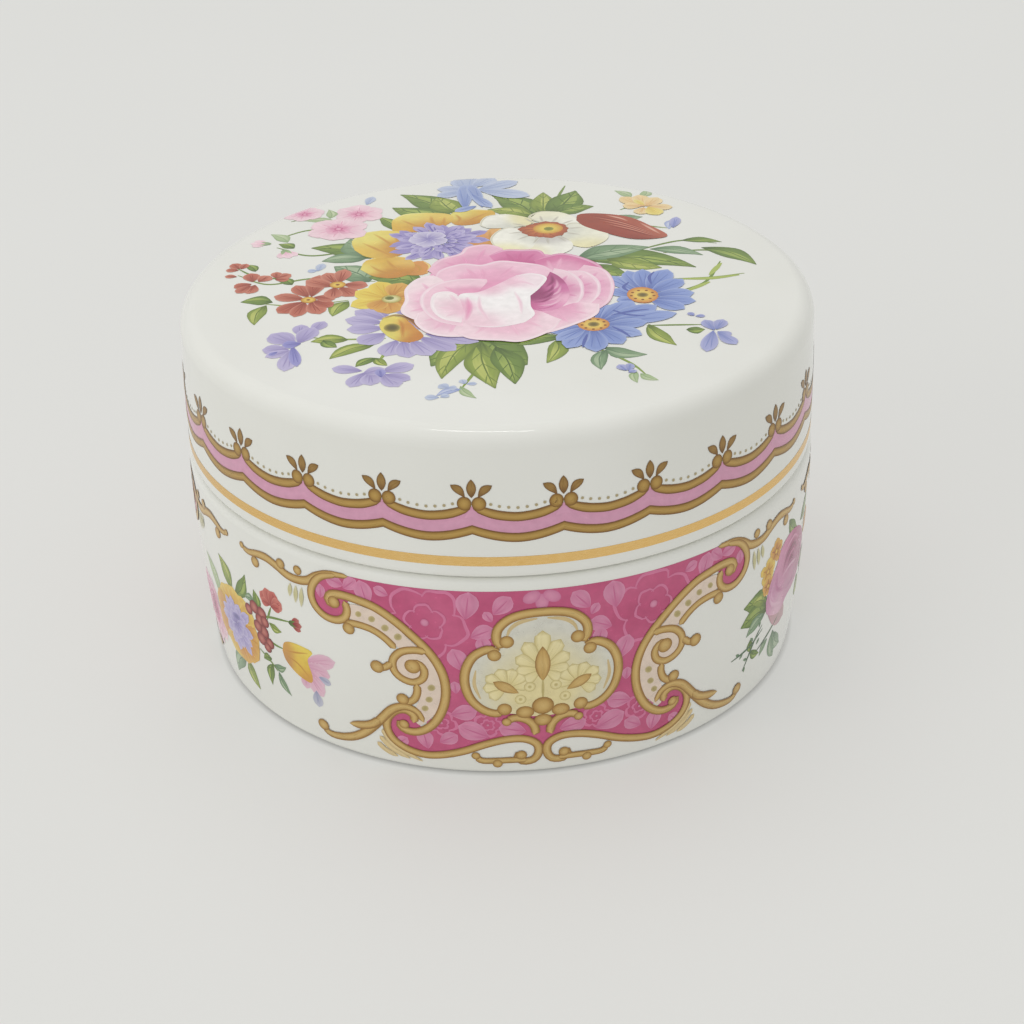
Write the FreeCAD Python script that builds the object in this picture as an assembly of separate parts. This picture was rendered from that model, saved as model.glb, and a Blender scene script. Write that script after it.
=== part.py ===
import FreeCAD, Part
import math
import os

# Round bone-china powder jar: a bowl with an upstanding inner rim, a flat-topped lift-off
# lid that drops over that rim, loose powder in the bowl and a satin-backed puff on the powder.
# Millimetres, +Z up. The origin is the centre of the foot ring, in the plane it stands on.
# Every round piece is one turned section: a closed polygon of (radius, height, blend) corners,
# where blend is how far from the corner the tangent arc that rounds it begins.

# Bowl, outside
WALL_RADIUS = 53.3
SHOULDER_RADIUS = 53.55
FOOT_RADIUS = 51.0
FOOT_INNER_RADIUS = 46.8
RECESS_RADIUS = 45.4
RECESS_HEIGHT = 1.6
BELLY_HEIGHT = 17.0
SEAT_HEIGHT = 37.95

# Bowl, rim and inside
RIM_RADIUS = 49.9
RIM_INNER_RADIUS = 48.1
RIM_HEIGHT = 41.5
BOWL_INNER_RADIUS = 50.2
BOWL_FLOOR_RADIUS = 49.5
BOWL_FLOOR_HEIGHT = 3.4

# Lid
LID_BOTTOM_HEIGHT = 38.0
LID_LIP_RADIUS = 53.3
LID_SIDE_RADIUS = 53.4
LID_SHOULDER_RADIUS = 53.0
LID_SHOULDER_HEIGHT = 63.1
LID_SHOULDER_BLEND = 3.0
LID_TOP_HEIGHT = 63.6
LID_CROWN_RADIUS = 38.0
LID_BORE_RADIUS = 50.35
LID_CEILING_HEIGHT = 60.7

# Contents
POWDER_TOP_HEIGHT = 16.0
POWDER_RADIUS = 49.6
POWDER_CLEARANCE = 0.25
PUFF_RADIUS = 40.0
PUFF_BOTTOM_HEIGHT = 16.6
PUFF_SEAM_HEIGHT = 27.6
PUFF_CROWN_HEIGHT = 31.0
PILE_THICKNESS = 3.0
SATIN_THICKNESS = 0.5
LAYER_GAP = 0.1
PIPING_RADIUS = 1.1
STRAP_WIDTH = 16.0
STRAP_THICKNESS = 0.5
STRAP_RISE = 8.5


def tangent_arc(before, corner, after, blend):
    """End points and middle point of the arc that rounds one corner."""
    to_before = (before - corner).normalize()
    to_after = (after - corner).normalize()
    start = corner + to_before * blend
    end = corner + to_after * blend
    half_angle = to_before.getAngle(to_after) / 2
    inward = (to_before + to_after).normalize()
    centre = corner + inward * (blend / math.cos(half_angle))
    radius = blend * math.tan(half_angle)
    return start, centre - inward * radius, end


def rounded_wire(corners):
    """Closed wire in the XZ plane through (x, z, blend) corners, rounded where blend > 0."""
    places = [FreeCAD.Vector(x, 0, z) for x, z, blend in corners]
    stretches = []
    for index, (x, z, blend) in enumerate(corners):
        if blend > 0:
            before = places[index - 1]
            after = places[(index + 1) % len(places)]
            stretches.append(tangent_arc(before, places[index], after, blend))
        else:
            stretches.append((places[index], None, places[index]))
    edges = []
    for index, (start, middle, end) in enumerate(stretches):
        if middle is not None:
            edges.append(Part.Arc(start, middle, end).toShape())
        next_start = stretches[(index + 1) % len(stretches)][0]
        edges.append(Part.LineSegment(end, next_start).toShape())
    return Part.Wire(edges)


def turned(corners):
    """Solid of revolution about Z of a rounded section."""
    section = Part.Face(rounded_wire(corners))
    return section.revolve(FreeCAD.Vector(0, 0, 0), FreeCAD.Vector(0, 0, 1), 360)


def make_bowl():
    return turned([
        (0, RECESS_HEIGHT, 0),
        (RECESS_RADIUS, RECESS_HEIGHT, 0.6),
        (FOOT_INNER_RADIUS, 0, 0.5),
        (FOOT_RADIUS, 0, 1.0),
        (WALL_RADIUS, BELLY_HEIGHT, 14.0),
        (SHOULDER_RADIUS, SEAT_HEIGHT, 1.5),
        (RIM_RADIUS, SEAT_HEIGHT, 0.3),
        (RIM_RADIUS, RIM_HEIGHT, 0.8),
        (RIM_INNER_RADIUS, RIM_HEIGHT, 0.8),
        (RIM_INNER_RADIUS, SEAT_HEIGHT - 3.0, 3.5),
        (BOWL_INNER_RADIUS, BELLY_HEIGHT + 7.0, 5.0),
        (BOWL_FLOOR_RADIUS, BOWL_FLOOR_HEIGHT, 7.5),
        (0, BOWL_FLOOR_HEIGHT, 0),
    ])


def make_lid():
    return turned([
        (LID_BORE_RADIUS, LID_BOTTOM_HEIGHT, 0.5),
        (LID_LIP_RADIUS, LID_BOTTOM_HEIGHT, 1.2),
        (LID_SIDE_RADIUS, LID_BOTTOM_HEIGHT + 10.0, 7.5),
        (LID_SHOULDER_RADIUS, LID_SHOULDER_HEIGHT, LID_SHOULDER_BLEND),
        (LID_CROWN_RADIUS, LID_TOP_HEIGHT, 10.0),
        (0, LID_TOP_HEIGHT, 0),
        (0, LID_CEILING_HEIGHT, 0),
        (LID_CROWN_RADIUS, LID_CEILING_HEIGHT, 8.0),
        (LID_BORE_RADIUS, LID_CEILING_HEIGHT - 0.5, 3.5),
    ])


def make_powder():
    bottom = BOWL_FLOOR_HEIGHT + POWDER_CLEARANCE
    return turned([
        (0, bottom, 0),
        (BOWL_FLOOR_RADIUS - POWDER_CLEARANCE, bottom, 7.5),
        (POWDER_RADIUS, POWDER_TOP_HEIGHT, 1.0),
        (0, POWDER_TOP_HEIGHT, 0),
    ])


def make_plush():
    """Deep-pile face of the puff: a shallow cup around the filling."""
    inner_radius = PUFF_RADIUS - PILE_THICKNESS
    return turned([
        (0, PUFF_BOTTOM_HEIGHT, 0),
        (PUFF_RADIUS, PUFF_BOTTOM_HEIGHT, 5.0),
        (PUFF_RADIUS, PUFF_SEAM_HEIGHT - PIPING_RADIUS - LAYER_GAP, 1.2),
        (inner_radius, PUFF_SEAM_HEIGHT - PIPING_RADIUS - LAYER_GAP, 0.4),
        (inner_radius, PUFF_BOTTOM_HEIGHT + PILE_THICKNESS, 3.0),
        (0, PUFF_BOTTOM_HEIGHT + PILE_THICKNESS, 0),
    ])


def make_filling():
    """Cotton wadding between the pile and the satin."""
    outer_radius = PUFF_RADIUS - PILE_THICKNESS - LAYER_GAP
    return turned([
        (0, PUFF_BOTTOM_HEIGHT + PILE_THICKNESS + LAYER_GAP, 0),
        (outer_radius, PUFF_BOTTOM_HEIGHT + PILE_THICKNESS + LAYER_GAP, 3.0),
        (outer_radius, PUFF_SEAM_HEIGHT - SATIN_THICKNESS - LAYER_GAP, 1.0),
        (PUFF_RADIUS * 0.5, PUFF_CROWN_HEIGHT - SATIN_THICKNESS - LAYER_GAP, 6.0),
        (0, PUFF_CROWN_HEIGHT - SATIN_THICKNESS - LAYER_GAP, 0),
    ])


def satin_corners(drop):
    """Corners of the crowned satin surface, lowered by drop."""
    edge_radius = PUFF_RADIUS - PIPING_RADIUS - 0.7
    return [
        (edge_radius, PUFF_SEAM_HEIGHT - drop, 0),
        (PUFF_RADIUS * 0.5, PUFF_CROWN_HEIGHT - drop, 6.0),
        (0, PUFF_CROWN_HEIGHT - drop, 0),
    ]


def make_backing():
    """Crowned satin disc that closes the puff."""
    underside = satin_corners(SATIN_THICKNESS)
    top = satin_corners(0)
    return turned(underside + top[::-1])


def make_piping():
    """Corded seam all round the puff's edge."""
    return Part.makeTorus(PUFF_RADIUS, PIPING_RADIUS, FreeCAD.Vector(0, 0, PUFF_SEAM_HEIGHT))


def strap_corners(lift):
    """Line of the strap in the XZ plane, from one sewn end to the other."""
    sewn_x = PUFF_RADIUS * 0.87
    sewn_z = PUFF_SEAM_HEIGHT + 0.75 + lift
    foot_x = PUFF_RADIUS * 0.66
    foot_z = PUFF_CROWN_HEIGHT - 1.05 + lift
    top_x = PUFF_RADIUS * 0.3
    top_z = PUFF_CROWN_HEIGHT + STRAP_RISE + lift
    return [
        (-sewn_x, sewn_z, 0),
        (-foot_x, foot_z, 2.0),
        (-top_x, top_z, 7.0),
        (top_x, top_z, 7.0),
        (foot_x, foot_z, 2.0),
        (sewn_x, sewn_z, 0),
    ]


def make_ribbon():
    """Ribbon strap over the satin that the fingers slip under."""
    outline = rounded_wire(strap_corners(0) + strap_corners(STRAP_THICKNESS)[::-1])
    band = Part.Face(outline).extrude(FreeCAD.Vector(0, STRAP_WIDTH, 0))
    band.translate(FreeCAD.Vector(0, -STRAP_WIDTH / 2, 0))
    return band


PIECES = {
    "bowl": make_bowl,
    "lid": make_lid,
    "loose_powder": make_powder,
    "puff_plush": make_plush,
    "puff_filling": make_filling,
    "puff_backing": make_backing,
    "puff_piping": make_piping,
    "puff_ribbon": make_ribbon,
}


def main():
    os.makedirs("parts", exist_ok=True)
    for node, make in PIECES.items():
        shape = make()
        shape.exportStep(f"parts/{node}.step")
        print(node, shape.isValid(), round(shape.Volume / 1000, 2), "cm3")


main()
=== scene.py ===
import math
import random

import bpy
import numpy as np
from mathutils import Matrix, Vector, noise
from mathutils.geometry import delaunay_2d_cdt


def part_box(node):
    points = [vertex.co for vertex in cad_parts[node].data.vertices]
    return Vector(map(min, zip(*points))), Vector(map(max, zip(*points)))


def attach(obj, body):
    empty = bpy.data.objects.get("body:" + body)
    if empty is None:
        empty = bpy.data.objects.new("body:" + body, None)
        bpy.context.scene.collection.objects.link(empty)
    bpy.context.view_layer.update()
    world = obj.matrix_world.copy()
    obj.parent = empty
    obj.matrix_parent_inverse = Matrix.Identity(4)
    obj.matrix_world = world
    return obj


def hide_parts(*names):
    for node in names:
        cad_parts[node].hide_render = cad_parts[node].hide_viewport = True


# Looks of the lidded powder jar: turned white china, fired flower and scroll transfers in
# coloured patches that lie on the glaze, a gold band, and the powder and puff inside.
# Lengths are millimetres in the frame of the CAD until a mesh is made, and metres after that.

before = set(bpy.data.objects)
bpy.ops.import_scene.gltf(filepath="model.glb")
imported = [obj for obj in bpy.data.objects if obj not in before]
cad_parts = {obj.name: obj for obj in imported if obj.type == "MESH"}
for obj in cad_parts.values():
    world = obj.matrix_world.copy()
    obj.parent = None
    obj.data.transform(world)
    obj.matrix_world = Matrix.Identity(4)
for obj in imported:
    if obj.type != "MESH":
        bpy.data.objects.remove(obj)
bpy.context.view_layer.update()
MM = 0.001

LID_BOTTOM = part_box("lid")[0].z / MM
LID_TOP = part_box("lid")[1].z / MM
RIM_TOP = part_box("bowl")[1].z / MM
POWDER_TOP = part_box("loose_powder")[1].z / MM
PUFF_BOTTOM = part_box("puff_plush")[0].z / MM
PUFF_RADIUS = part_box("puff_plush")[1].x / MM
PUFF_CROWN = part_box("puff_backing")[1].z / MM
SEAM_HEIGHT = (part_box("puff_piping")[0].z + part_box("puff_piping")[1].z) / 2 / MM
STRAP_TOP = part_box("puff_ribbon")[1].z / MM
STRAP_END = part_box("puff_ribbon")[1].x / MM

SEAT = LID_BOTTOM - 0.05
TURN_STEPS = 256
PRINT_RADIUS = 53.5       # radius on which distances round the sides are measured
SCALLOPS = 24
SCALLOP_PHASE = 3.6       # distance of the first scallop cusp from the front centre line
CARTOUCHE_PLACES = (0.0, 113.8, -113.8)     # round the wall from the front; the tips meet at the back
SPRAY_PLACE = 56.0

# Height of each print's first layer above the glaze, clear of the highest layer of the print below,
# and the rise from one layer to the next.
LEFT_BASE, RIGHT_BASE, ROSE_BASE = 0.0455, 0.0955, 0.145
BORDER_GOLD_BASE, SCROLL_BASE, SHIELD_BASE = 0.04, 0.09, 0.128
FINE_LAYER, SHIELD_LAYER, BROAD_LAYER = 0.001, 0.0015, 0.004

# ---------------------------------------------------------------- colours, 0 to 255
GOLD = ((152, 110, 54), (194, 156, 88), (216, 184, 118))
GOLD_EDGE = ((122, 84, 38), (168, 130, 60), (192, 156, 84))
BROWN_GOLD = ((112, 76, 34), (142, 108, 54), (166, 130, 70))
PINK = (196, 82, 124)
PINK_LIGHT = (222, 148, 178)
BAND_PINK = (220, 162, 188)
DOTS = ((176, 160, 120), (198, 186, 156))
CREAM = (232, 216, 196)


def linear(colour):
    """Scene-linear values of a 0 to 255 display colour."""
    share = np.clip(np.array(colour, float) / 255, 0, 1)
    return np.where(share <= 0.04045, share / 12.92, ((share + 0.055) / 1.055) ** 2.4)


def mix(a, b, share):
    share = min(1.0, max(0.0, share))
    return tuple(x + (y - x) * share for x, y in zip(a, b))


def mix_one(a, b, share):
    return a + (b - a) * share


def ramp(tones, place):
    """Colour at place 0 to 1 along a row of evenly spaced tones."""
    at = min(0.9999, max(0.0, place)) * (len(tones) - 1)
    return mix(tones[int(at)], tones[int(at) + 1], at - int(at))


# ---------------------------------------------------------------- turned shapes
def rounded(corners, steps=12):
    """Points and outward normals along an open outline of (radius, height, blend) corners."""
    places = [Vector((r, z)) for r, z, _ in corners]
    rows = []
    for index, (r, z, blend) in enumerate(corners):
        here = places[index]
        into = (here - places[index - 1]).normalized() if index else None
        out = (places[index + 1] - here).normalized() if index + 1 < len(places) else None
        into = into or out
        out = out or into
        start_angle = math.atan2(into.y, into.x)
        turn = math.remainder(math.atan2(out.y, out.x) - start_angle, math.tau)
        if blend == 0 or abs(turn) < 1e-6:
            rows.append((here, Vector((into.y, -into.x))))
            continue
        start = here - into * blend
        radius = blend / math.tan(abs(turn) / 2)
        side = math.copysign(1, turn)
        centre = start + Vector((-into.y, into.x)) * radius * side
        for step in range(steps + 1):
            angle = start_angle + turn * step / steps
            normal = Vector((math.sin(angle), -math.cos(angle)))
            rows.append((centre + normal * radius * side, normal))
    return rows


BOWL_OUTLINE = rounded([
    (0, 1.6, 0), (45.4, 1.6, 0.6), (46.8, 0, 0.5), (51.0, 0, 1.0), (53.3, 17.0, 14.0),
    (53.55, SEAT, 1.5), (49.9, SEAT, 0.3), (49.9, RIM_TOP, 0.8), (48.1, RIM_TOP, 0.8),
    (48.1, SEAT - 3.0, 3.5), (50.2, 24.0, 5.0), (49.5, 3.4, 7.5), (0, 3.4, 0),
])
LID_OUTLINE = rounded([
    (0, LID_TOP - 2.9, 0), (38.0, LID_TOP - 2.9, 8.0), (50.35, LID_TOP - 3.4, 3.5),
    (50.35, LID_BOTTOM, 0.5), (53.3, LID_BOTTOM, 1.2), (53.4, LID_BOTTOM + 10, 7.5),
    (53.0, LID_TOP - 0.5, 3.0), (38.0, LID_TOP, 10.0), (0, LID_TOP, 0),
])


def smooth_mesh(name, points, faces):
    mesh = bpy.data.meshes.new(name)
    mesh.from_pydata(points, [], faces)
    mesh.shade_smooth()
    return mesh


def linked(name, data):
    """Object in the scene that shows data."""
    thing = bpy.data.objects.new(name, data)
    bpy.context.scene.collection.objects.link(thing)
    return thing


def evaluated_mesh(thing):
    """Copy of an object's mesh with its modifiers applied."""
    return bpy.data.meshes.new_from_object(thing.evaluated_get(bpy.context.evaluated_depsgraph_get()))


def grid_faces(rows, columns):
    return [(a * columns + b, (a + 1) * columns + b, (a + 1) * columns + b + 1, a * columns + b + 1)
            for a in range(rows - 1) for b in range(columns - 1)]


def disc_faces(rings, around):
    """Faces of a disc: a fan round its middle point, then rings of quads."""
    faces = [(0, 1 + k, 1 + (k + 1) % around) for k in range(around)]
    for ring in range(rings - 1):
        low, high = 1 + ring * around, 1 + (ring + 1) * around
        faces += [(low + k, high + k, high + (k + 1) % around, low + (k + 1) % around)
                  for k in range(around)]
    return faces


def turned_mesh(name, outline, steps=TURN_STEPS):
    """Mesh of revolution of an outline that starts and ends on the axis, with its true normals."""
    points, normals, faces = [], [], []
    rings = []
    for place, normal in outline:
        count = 1 if place.x < 1e-6 else steps
        rings.append(range(len(points), len(points) + count))
        for step in range(count):
            angle = math.tau * step / steps
            c, s = math.cos(angle), math.sin(angle)
            points.append((place.x * c * MM, place.x * s * MM, place.y * MM))
            normals.append((normal.x * c, normal.x * s, normal.y))
    for low, high in zip(rings, rings[1:]):
        for step in range(steps):
            following = (step + 1) % steps
            if len(low) == 1:
                faces.append((low[0], high[following], high[step]))
            elif len(high) == 1:
                faces.append((low[step], low[following], high[0]))
            else:
                faces.append((low[step], low[following], high[following], high[step]))
    mesh = smooth_mesh(name, points, faces)
    mesh.normals_split_custom_set_from_vertices(normals)
    return mesh


def add_piece(name, mesh, material, body, nodes=()):
    """Object that shows mesh, rides on a CAD body and stands for the named CAD nodes."""
    piece = linked(name, mesh)
    mesh.materials.append(material)
    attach(piece, body)
    if nodes:
        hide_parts(*nodes)
    return piece


# ---------------------------------------------------------------- surfaces that take a print
def side_table(outline, low, high):
    """Heights, radii and normals of the outer side between two heights."""
    rows = sorted((p.y, p.x, n.x, n.y) for p, n in outline if p.x > 50.5 and low < p.y < high)
    return np.array(rows).T


WALL_TABLE = side_table(BOWL_OUTLINE, 0.05, SEAT)
LID_TABLE = side_table(LID_OUTLINE, LID_BOTTOM + 0.1, LID_TOP - 0.6)
TOP_TABLE = np.array(sorted((p.x, p.y, n.x, n.y) for p, n in LID_OUTLINE if p.y > LID_TOP - 2.0)).T


def on_side(table, s, z, lift):
    """Place and normal at distance s round the jar from the front, to the right, and height z."""
    heights, radii, out, up = table
    radius, nr, nz = (np.interp(z, heights, row) for row in (radii, out, up))
    angle = s / PRINT_RADIUS
    c, d = math.sin(angle), -math.cos(angle)
    return ((radius + lift * nr) * c, (radius + lift * nr) * d, z + lift * nz), (nr * c, nr * d, nz)


def on_wall(s, z, lift):
    return on_side(WALL_TABLE, s, z, lift)


def on_lid_side(s, z, lift):
    return on_side(LID_TABLE, s, z, lift)


def on_lid_top(x, y, lift):
    radii, heights, out, up = TOP_TABLE
    radius = math.hypot(x, y)
    z, nr, nz = (np.interp(radius, radii, row) for row in (heights, out, up))
    c, d = (x / radius, y / radius) if radius > 1e-6 else (0, 0)
    return (x + lift * nr * c, y + lift * nr * d, z + lift * nz), (nr * c, nr * d, nz)


def smooth(path, spacing):
    """Evenly spaced points, and directions, of the smooth curve through the path's points."""
    p = np.array([path[0], *path, path[-1]], float)
    p[0] = 2 * p[1] - p[2]
    p[-1] = 2 * p[-2] - p[-3]
    t = np.linspace(0, 1, 14, endpoint=False)[:, None]
    fine = [0.5 * (2 * b + (c - a) * t + (2 * a - 5 * b + 4 * c - d) * t ** 2
                   + (3 * b - a - 3 * c + d) * t ** 3)
            for a, b, c, d in zip(p, p[1:], p[2:], p[3:])]
    fine = np.concatenate(fine + [p[-2:-1]])
    run = np.concatenate([[0], np.cumsum(np.linalg.norm(np.diff(fine, axis=0), axis=1))])
    count = max(4, int(run[-1] / spacing) + 1)
    at = np.linspace(0, run[-1], count)
    points = np.stack([np.interp(at, run, fine[:, k]) for k in (0, 1)], axis=1)
    along = np.gradient(points, axis=0)
    along /= np.maximum(np.linalg.norm(along, axis=1), 1e-9)[:, None]
    return points, along, at


class Print:
    """One colour-printed piece: patches laid on a surface, each above those that it overlaps."""

    def __init__(self, place, step, seed=1, shift=0.0, base=0.02):
        self.place = place
        self.base = base
        self.step = step
        self.shift = shift
        self.random = random.Random(seed)
        self.points, self.normals, self.colours, self.brush, self.faces = [], [], [], [], []
        self.patches = []

    def level(self, spots):
        """Layer for a new patch: one above every earlier patch that its box overlaps."""
        u = [spot[0] for spot in spots]
        v = [spot[1] for spot in spots]
        box = (min(u), max(u), min(v), max(v))
        under = [layer for a, b, c, d, layer in self.patches
                 if a < box[1] and b > box[0] and c < box[3] and d > box[2]]
        layer = max(under, default=0) + 1
        self.patches.append((*box, layer))
        return layer

    def patch(self, spots, faces):
        """Adds (u, v, colour, brush) spots joined by faces as one patch."""
        lift = self.base + self.step * self.level(spots)
        first = len(self.points)
        for u, v, colour, brush in spots:
            point, normal = self.place(u + self.shift, v, lift)
            self.points.append(Vector(point) * MM)
            self.normals.append(Vector(normal))
            self.colours.append((*linear(colour), 1.0))
            self.brush.append(brush)
        for face in faces:
            a, b, c = (self.points[first + face[k]] for k in (0, 1, -1))
            facing = (b - a).cross(c - a).dot(self.normals[first + face[0]])
            self.faces.append(tuple(first + k for k in (face if facing > 0 else face[::-1])))

    def grid(self, rows):
        """Patch from rows of equally many spots, across from right to left."""
        self.patch([spot for row in rows for spot in row], grid_faces(len(rows), len(rows[0])))

    def stroke(self, path, width, tones, ends=(1.0, 1.0), spacing=None, mirror=1):
        """Rounded-looking line: dark edges, body and a highlight; ends give the end widths."""
        path = [(u * mirror, v) for u, v in path]
        points, along, at = smooth(path, spacing or max(0.3, 0.4 * width))
        seed = self.random.random() * 50
        rows = []
        for (u, v), (du, dv), run in zip(points, along, at):
            share = run / at[-1]
            half = width / 2 * min(1, ends[0] + (1 - ends[0]) * share * 4,
                                   ends[1] + (1 - ends[1]) * (1 - share) * 4)
            near = min(run, at[-1] - run) / half
            cap = math.sqrt(max(0.0, 1 - max(0.0, 1 - near) ** 2))
            half *= max(0.12, cap)
            rows.append([
                (u + dv * half * across, v - du * half * across, ramp(tones, tone),
                 (run * 0.35, across * half * 2.0, seed))
                for across, tone in ((1, 0), (0.82, 0.1), (0.58, 0.6), (0.12 * mirror, 1.0),
                                     (-0.36, 0.8), (-0.78, 0.14), (-1, 0))
            ])
        self.grid(rows)

    def line(self, path, width, colour, mirror=1):
        """Plain thin brush line that fades to points."""
        points, along, at = smooth([(u * mirror, v) for u, v in path], max(0.35, width))
        seed = self.random.random() * 50
        rows = []
        for (u, v), (du, dv), run in zip(points, along, at):
            half = width / 2 * (0.35 + 0.65 * math.sin(math.pi * run / at[-1]))
            rows.append([(u + dv * half * k, v - du * half * k, colour, (run * 0.3, k, seed))
                         for k in (1, -1)])
        self.grid(rows)

    def disc(self, u, v, radius, tones, flat=1.0, turn=0.0, around=16, mirror=1):
        """Round or oval dot, shaded from its middle to its edge."""
        seed = self.random.random() * 50
        c, s = math.cos(turn), math.sin(turn)
        spots = [(u * mirror, v, tones[0], (0, 0, seed))]
        shares = (0.5, 0.8, 1.0)
        for share in shares:
            for step in range(around):
                angle = math.tau * step / around
                x, y = radius * share * math.cos(angle), radius * share * flat * math.sin(angle)
                spots.append(((u + x * c - y * s) * mirror, v + x * s + y * c,
                              ramp(tones, share ** 2), (x * 0.6, y * 0.6, seed)))
        self.patch(spots, disc_faces(len(shares), around))

    def fill(self, outline, colour_at, spacing=1.4, curved=True):
        """Flat area inside a closed outline, coloured by colour_at(u, v)."""
        if curved:
            edge = smooth([*outline, outline[0]], spacing * 0.7)[0][:-1]
        else:
            edge = np.array(outline, float)
        low, high = edge.min(0), edge.max(0)
        inner = [(u, v) for u in np.arange(low[0] + spacing / 2, high[0], spacing)
                 for v in np.arange(low[1] + spacing / 2, high[1], spacing)]
        points = [Vector(p) for p in [*edge, *inner]]
        links = [(k, (k + 1) % len(edge)) for k in range(len(edge))]
        found, _, faces, *_ = delaunay_2d_cdt(points, links, [], 1, 1e-5)
        seed = self.random.random() * 50
        spots = [(p.x, p.y, colour_at(p.x, p.y), (p.x * 0.5, p.y * 0.5, seed)) for p in found]
        self.patch(spots, faces)

    def wash(self, outline, blobs, spacing=1.0):
        """Soft area whose colour drifts between (u, v, reach, colour) blobs; returns that colour."""
        def colour_at(u, v):
            shares = [math.exp(-((u - bu) ** 2 + (v - bv) ** 2) / reach ** 2) + 1e-6
                      for bu, bv, reach, _ in blobs]
            return tuple(sum(share * blob[3][k] for share, blob in zip(shares, blobs)) / sum(shares)
                         for k in range(3))

        self.fill(outline, colour_at, spacing)
        return colour_at

    def fold(self, path, width, colour, under):
        """Soft brush mark that fades at its edges into the colour under it."""
        points, along, at = smooth(path, max(0.35, width * 0.3))
        seed = self.random.random() * 50
        rows = []
        for (u, v), (du, dv), run in zip(points, along, at):
            strength = math.sin(math.pi * min(0.97, max(0.03, run / at[-1]))) ** 0.6
            row = []
            for across, share in ((1, 0), (0.5, 0.6), (0, 1), (-0.5, 0.6), (-1, 0)):
                half = width / 2 * (0.4 + 0.6 * strength) * across
                x, y = u + dv * half, v - du * half
                row.append((x, y, mix(under(x, y), colour, share * strength), (run * 0.3, across, seed)))
            rows.append(row)
        self.grid(rows)

    def dabs(self, tones, spots):
        """Single brush petals, each from a root to a tip: (u, v, u, v, width)."""
        for u, v, end_u, end_v, width in spots:
            body = mix(tones[1], tones[2], self.random.uniform(0.0, 0.5))
            self.petal((u, v), (end_u, end_v), width, (tones[0], mix(tones[0], body, 0.7), body, body),
                       rim=mix(body, tones[2], 0.7), widest=0.6, blunt=0.6)
            for side in (-0.16, 0.14):
                vein = [(mix_one(u, end_u, t) + (end_v - v) * side * t * width / 6,
                         mix_one(v, end_v, t) - (end_u - u) * side * t * width / 6)
                        for t in (0.15, 0.5, 0.8)]
                self.line(vein, 0.24, mix(tones[0], tones[1], 0.5))

    def petal(self, root, tip, width, tones, rim=None, widest=0.62, blunt=0.55, bend=0.0,
              ruffle=0.0, cut=0.0):
        """Petal or leaf blade from root to tip; tones run from root to tip, rim is its edge."""
        root, tip = Vector(root), Vector(tip)
        axis = tip - root
        length = axis.length
        ahead = axis.normalized()
        across = Vector((ahead.y, -ahead.x))
        power = math.log(0.5) / math.log(widest)
        seed = self.random.random() * 50
        phase = self.random.random() * math.tau
        rows_count = max(7, int(length / 1.1))
        columns = 9
        rows = []
        for a in range(rows_count + 1):
            t = a / rows_count
            half = width / 2 * math.sin(math.pi * t ** power) ** blunt if 0 < t < 1 else 0.0
            half = max(half, width * 0.02)
            half *= 1 + ruffle * math.sin(9 * t + phase)
            middle = root + axis * t + across * (bend * length * 4 * t * (1 - t))
            row = []
            for b in range(columns):
                k = 1 - 2 * b / (columns - 1)
                spot = middle + across * half * k - ahead * (cut * length * k ** 2 * t ** 3)
                colour = ramp(tones, t + 0.08 * math.sin(11 * k + phase))
                edge = max((abs(k) - 0.66) / 0.34, (t - 0.86) / 0.14)
                if rim is not None and edge > 0:
                    colour = mix(colour, rim, edge)
                row.append((spot.x, spot.y, colour, (t * length * 0.14, k * width * 0.55, seed)))
            rows.append(row)
        self.grid(rows)

    def leaf(self, root, tip, width, tones, bend=0.12, veins=3):
        """Green leaf: a blade with a lighter half, a midrib and side veins."""
        dark, middle, light = tones
        self.petal(root, tip, width, (dark, middle, middle, mix(middle, light, 0.7)),
                   rim=mix(dark, middle, 0.55), widest=0.45, blunt=0.95, bend=bend, ruffle=0.07)
        root, tip = Vector(root), Vector(tip)
        axis = tip - root
        across = Vector((axis.y, -axis.x)).normalized()

        def rib(t, k):
            return root + axis * t + across * (bend * axis.length * 4 * t * (1 - t) + k * width)

        self.petal(rib(0.1, 0.14), rib(0.9, 0.04), width * 0.36,
                   (middle, mix(middle, light, 0.8), mix(middle, light, 0.6)), widest=0.5,
                   blunt=0.9, bend=bend * 0.8)
        self.line([rib(0.02, 0), rib(0.4, 0), rib(0.92, 0)], max(0.2, width * 0.05),
                  mix(dark, middle, 0.4))
        for vein in range(veins):
            t = 0.22 + 0.5 * vein / max(1, veins - 1)
            reach = 0.34 * math.sin(math.pi * (t + 0.12))
            for side in (1, -1):
                self.line([rib(t, 0), rib(t + 0.1, reach * side * 0.6), rib(t + 0.17, reach * side)],
                          max(0.14, width * 0.04), mix(dark, middle, 0.6))

    def build(self, name, material, body):
        mesh = smooth_mesh(name, self.points, self.faces)
        colour = mesh.attributes.new("Col", "FLOAT_COLOR", "POINT")
        colour.data.foreach_set("color", np.array(self.colours, np.float32).ravel())
        brush = mesh.attributes.new("Brush", "FLOAT_VECTOR", "POINT")
        brush.data.foreach_set("vector", np.array(self.brush, np.float32).ravel())
        mesh.normals_split_custom_set_from_vertices(self.normals)
        return add_piece(name, mesh, material, body)


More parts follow.
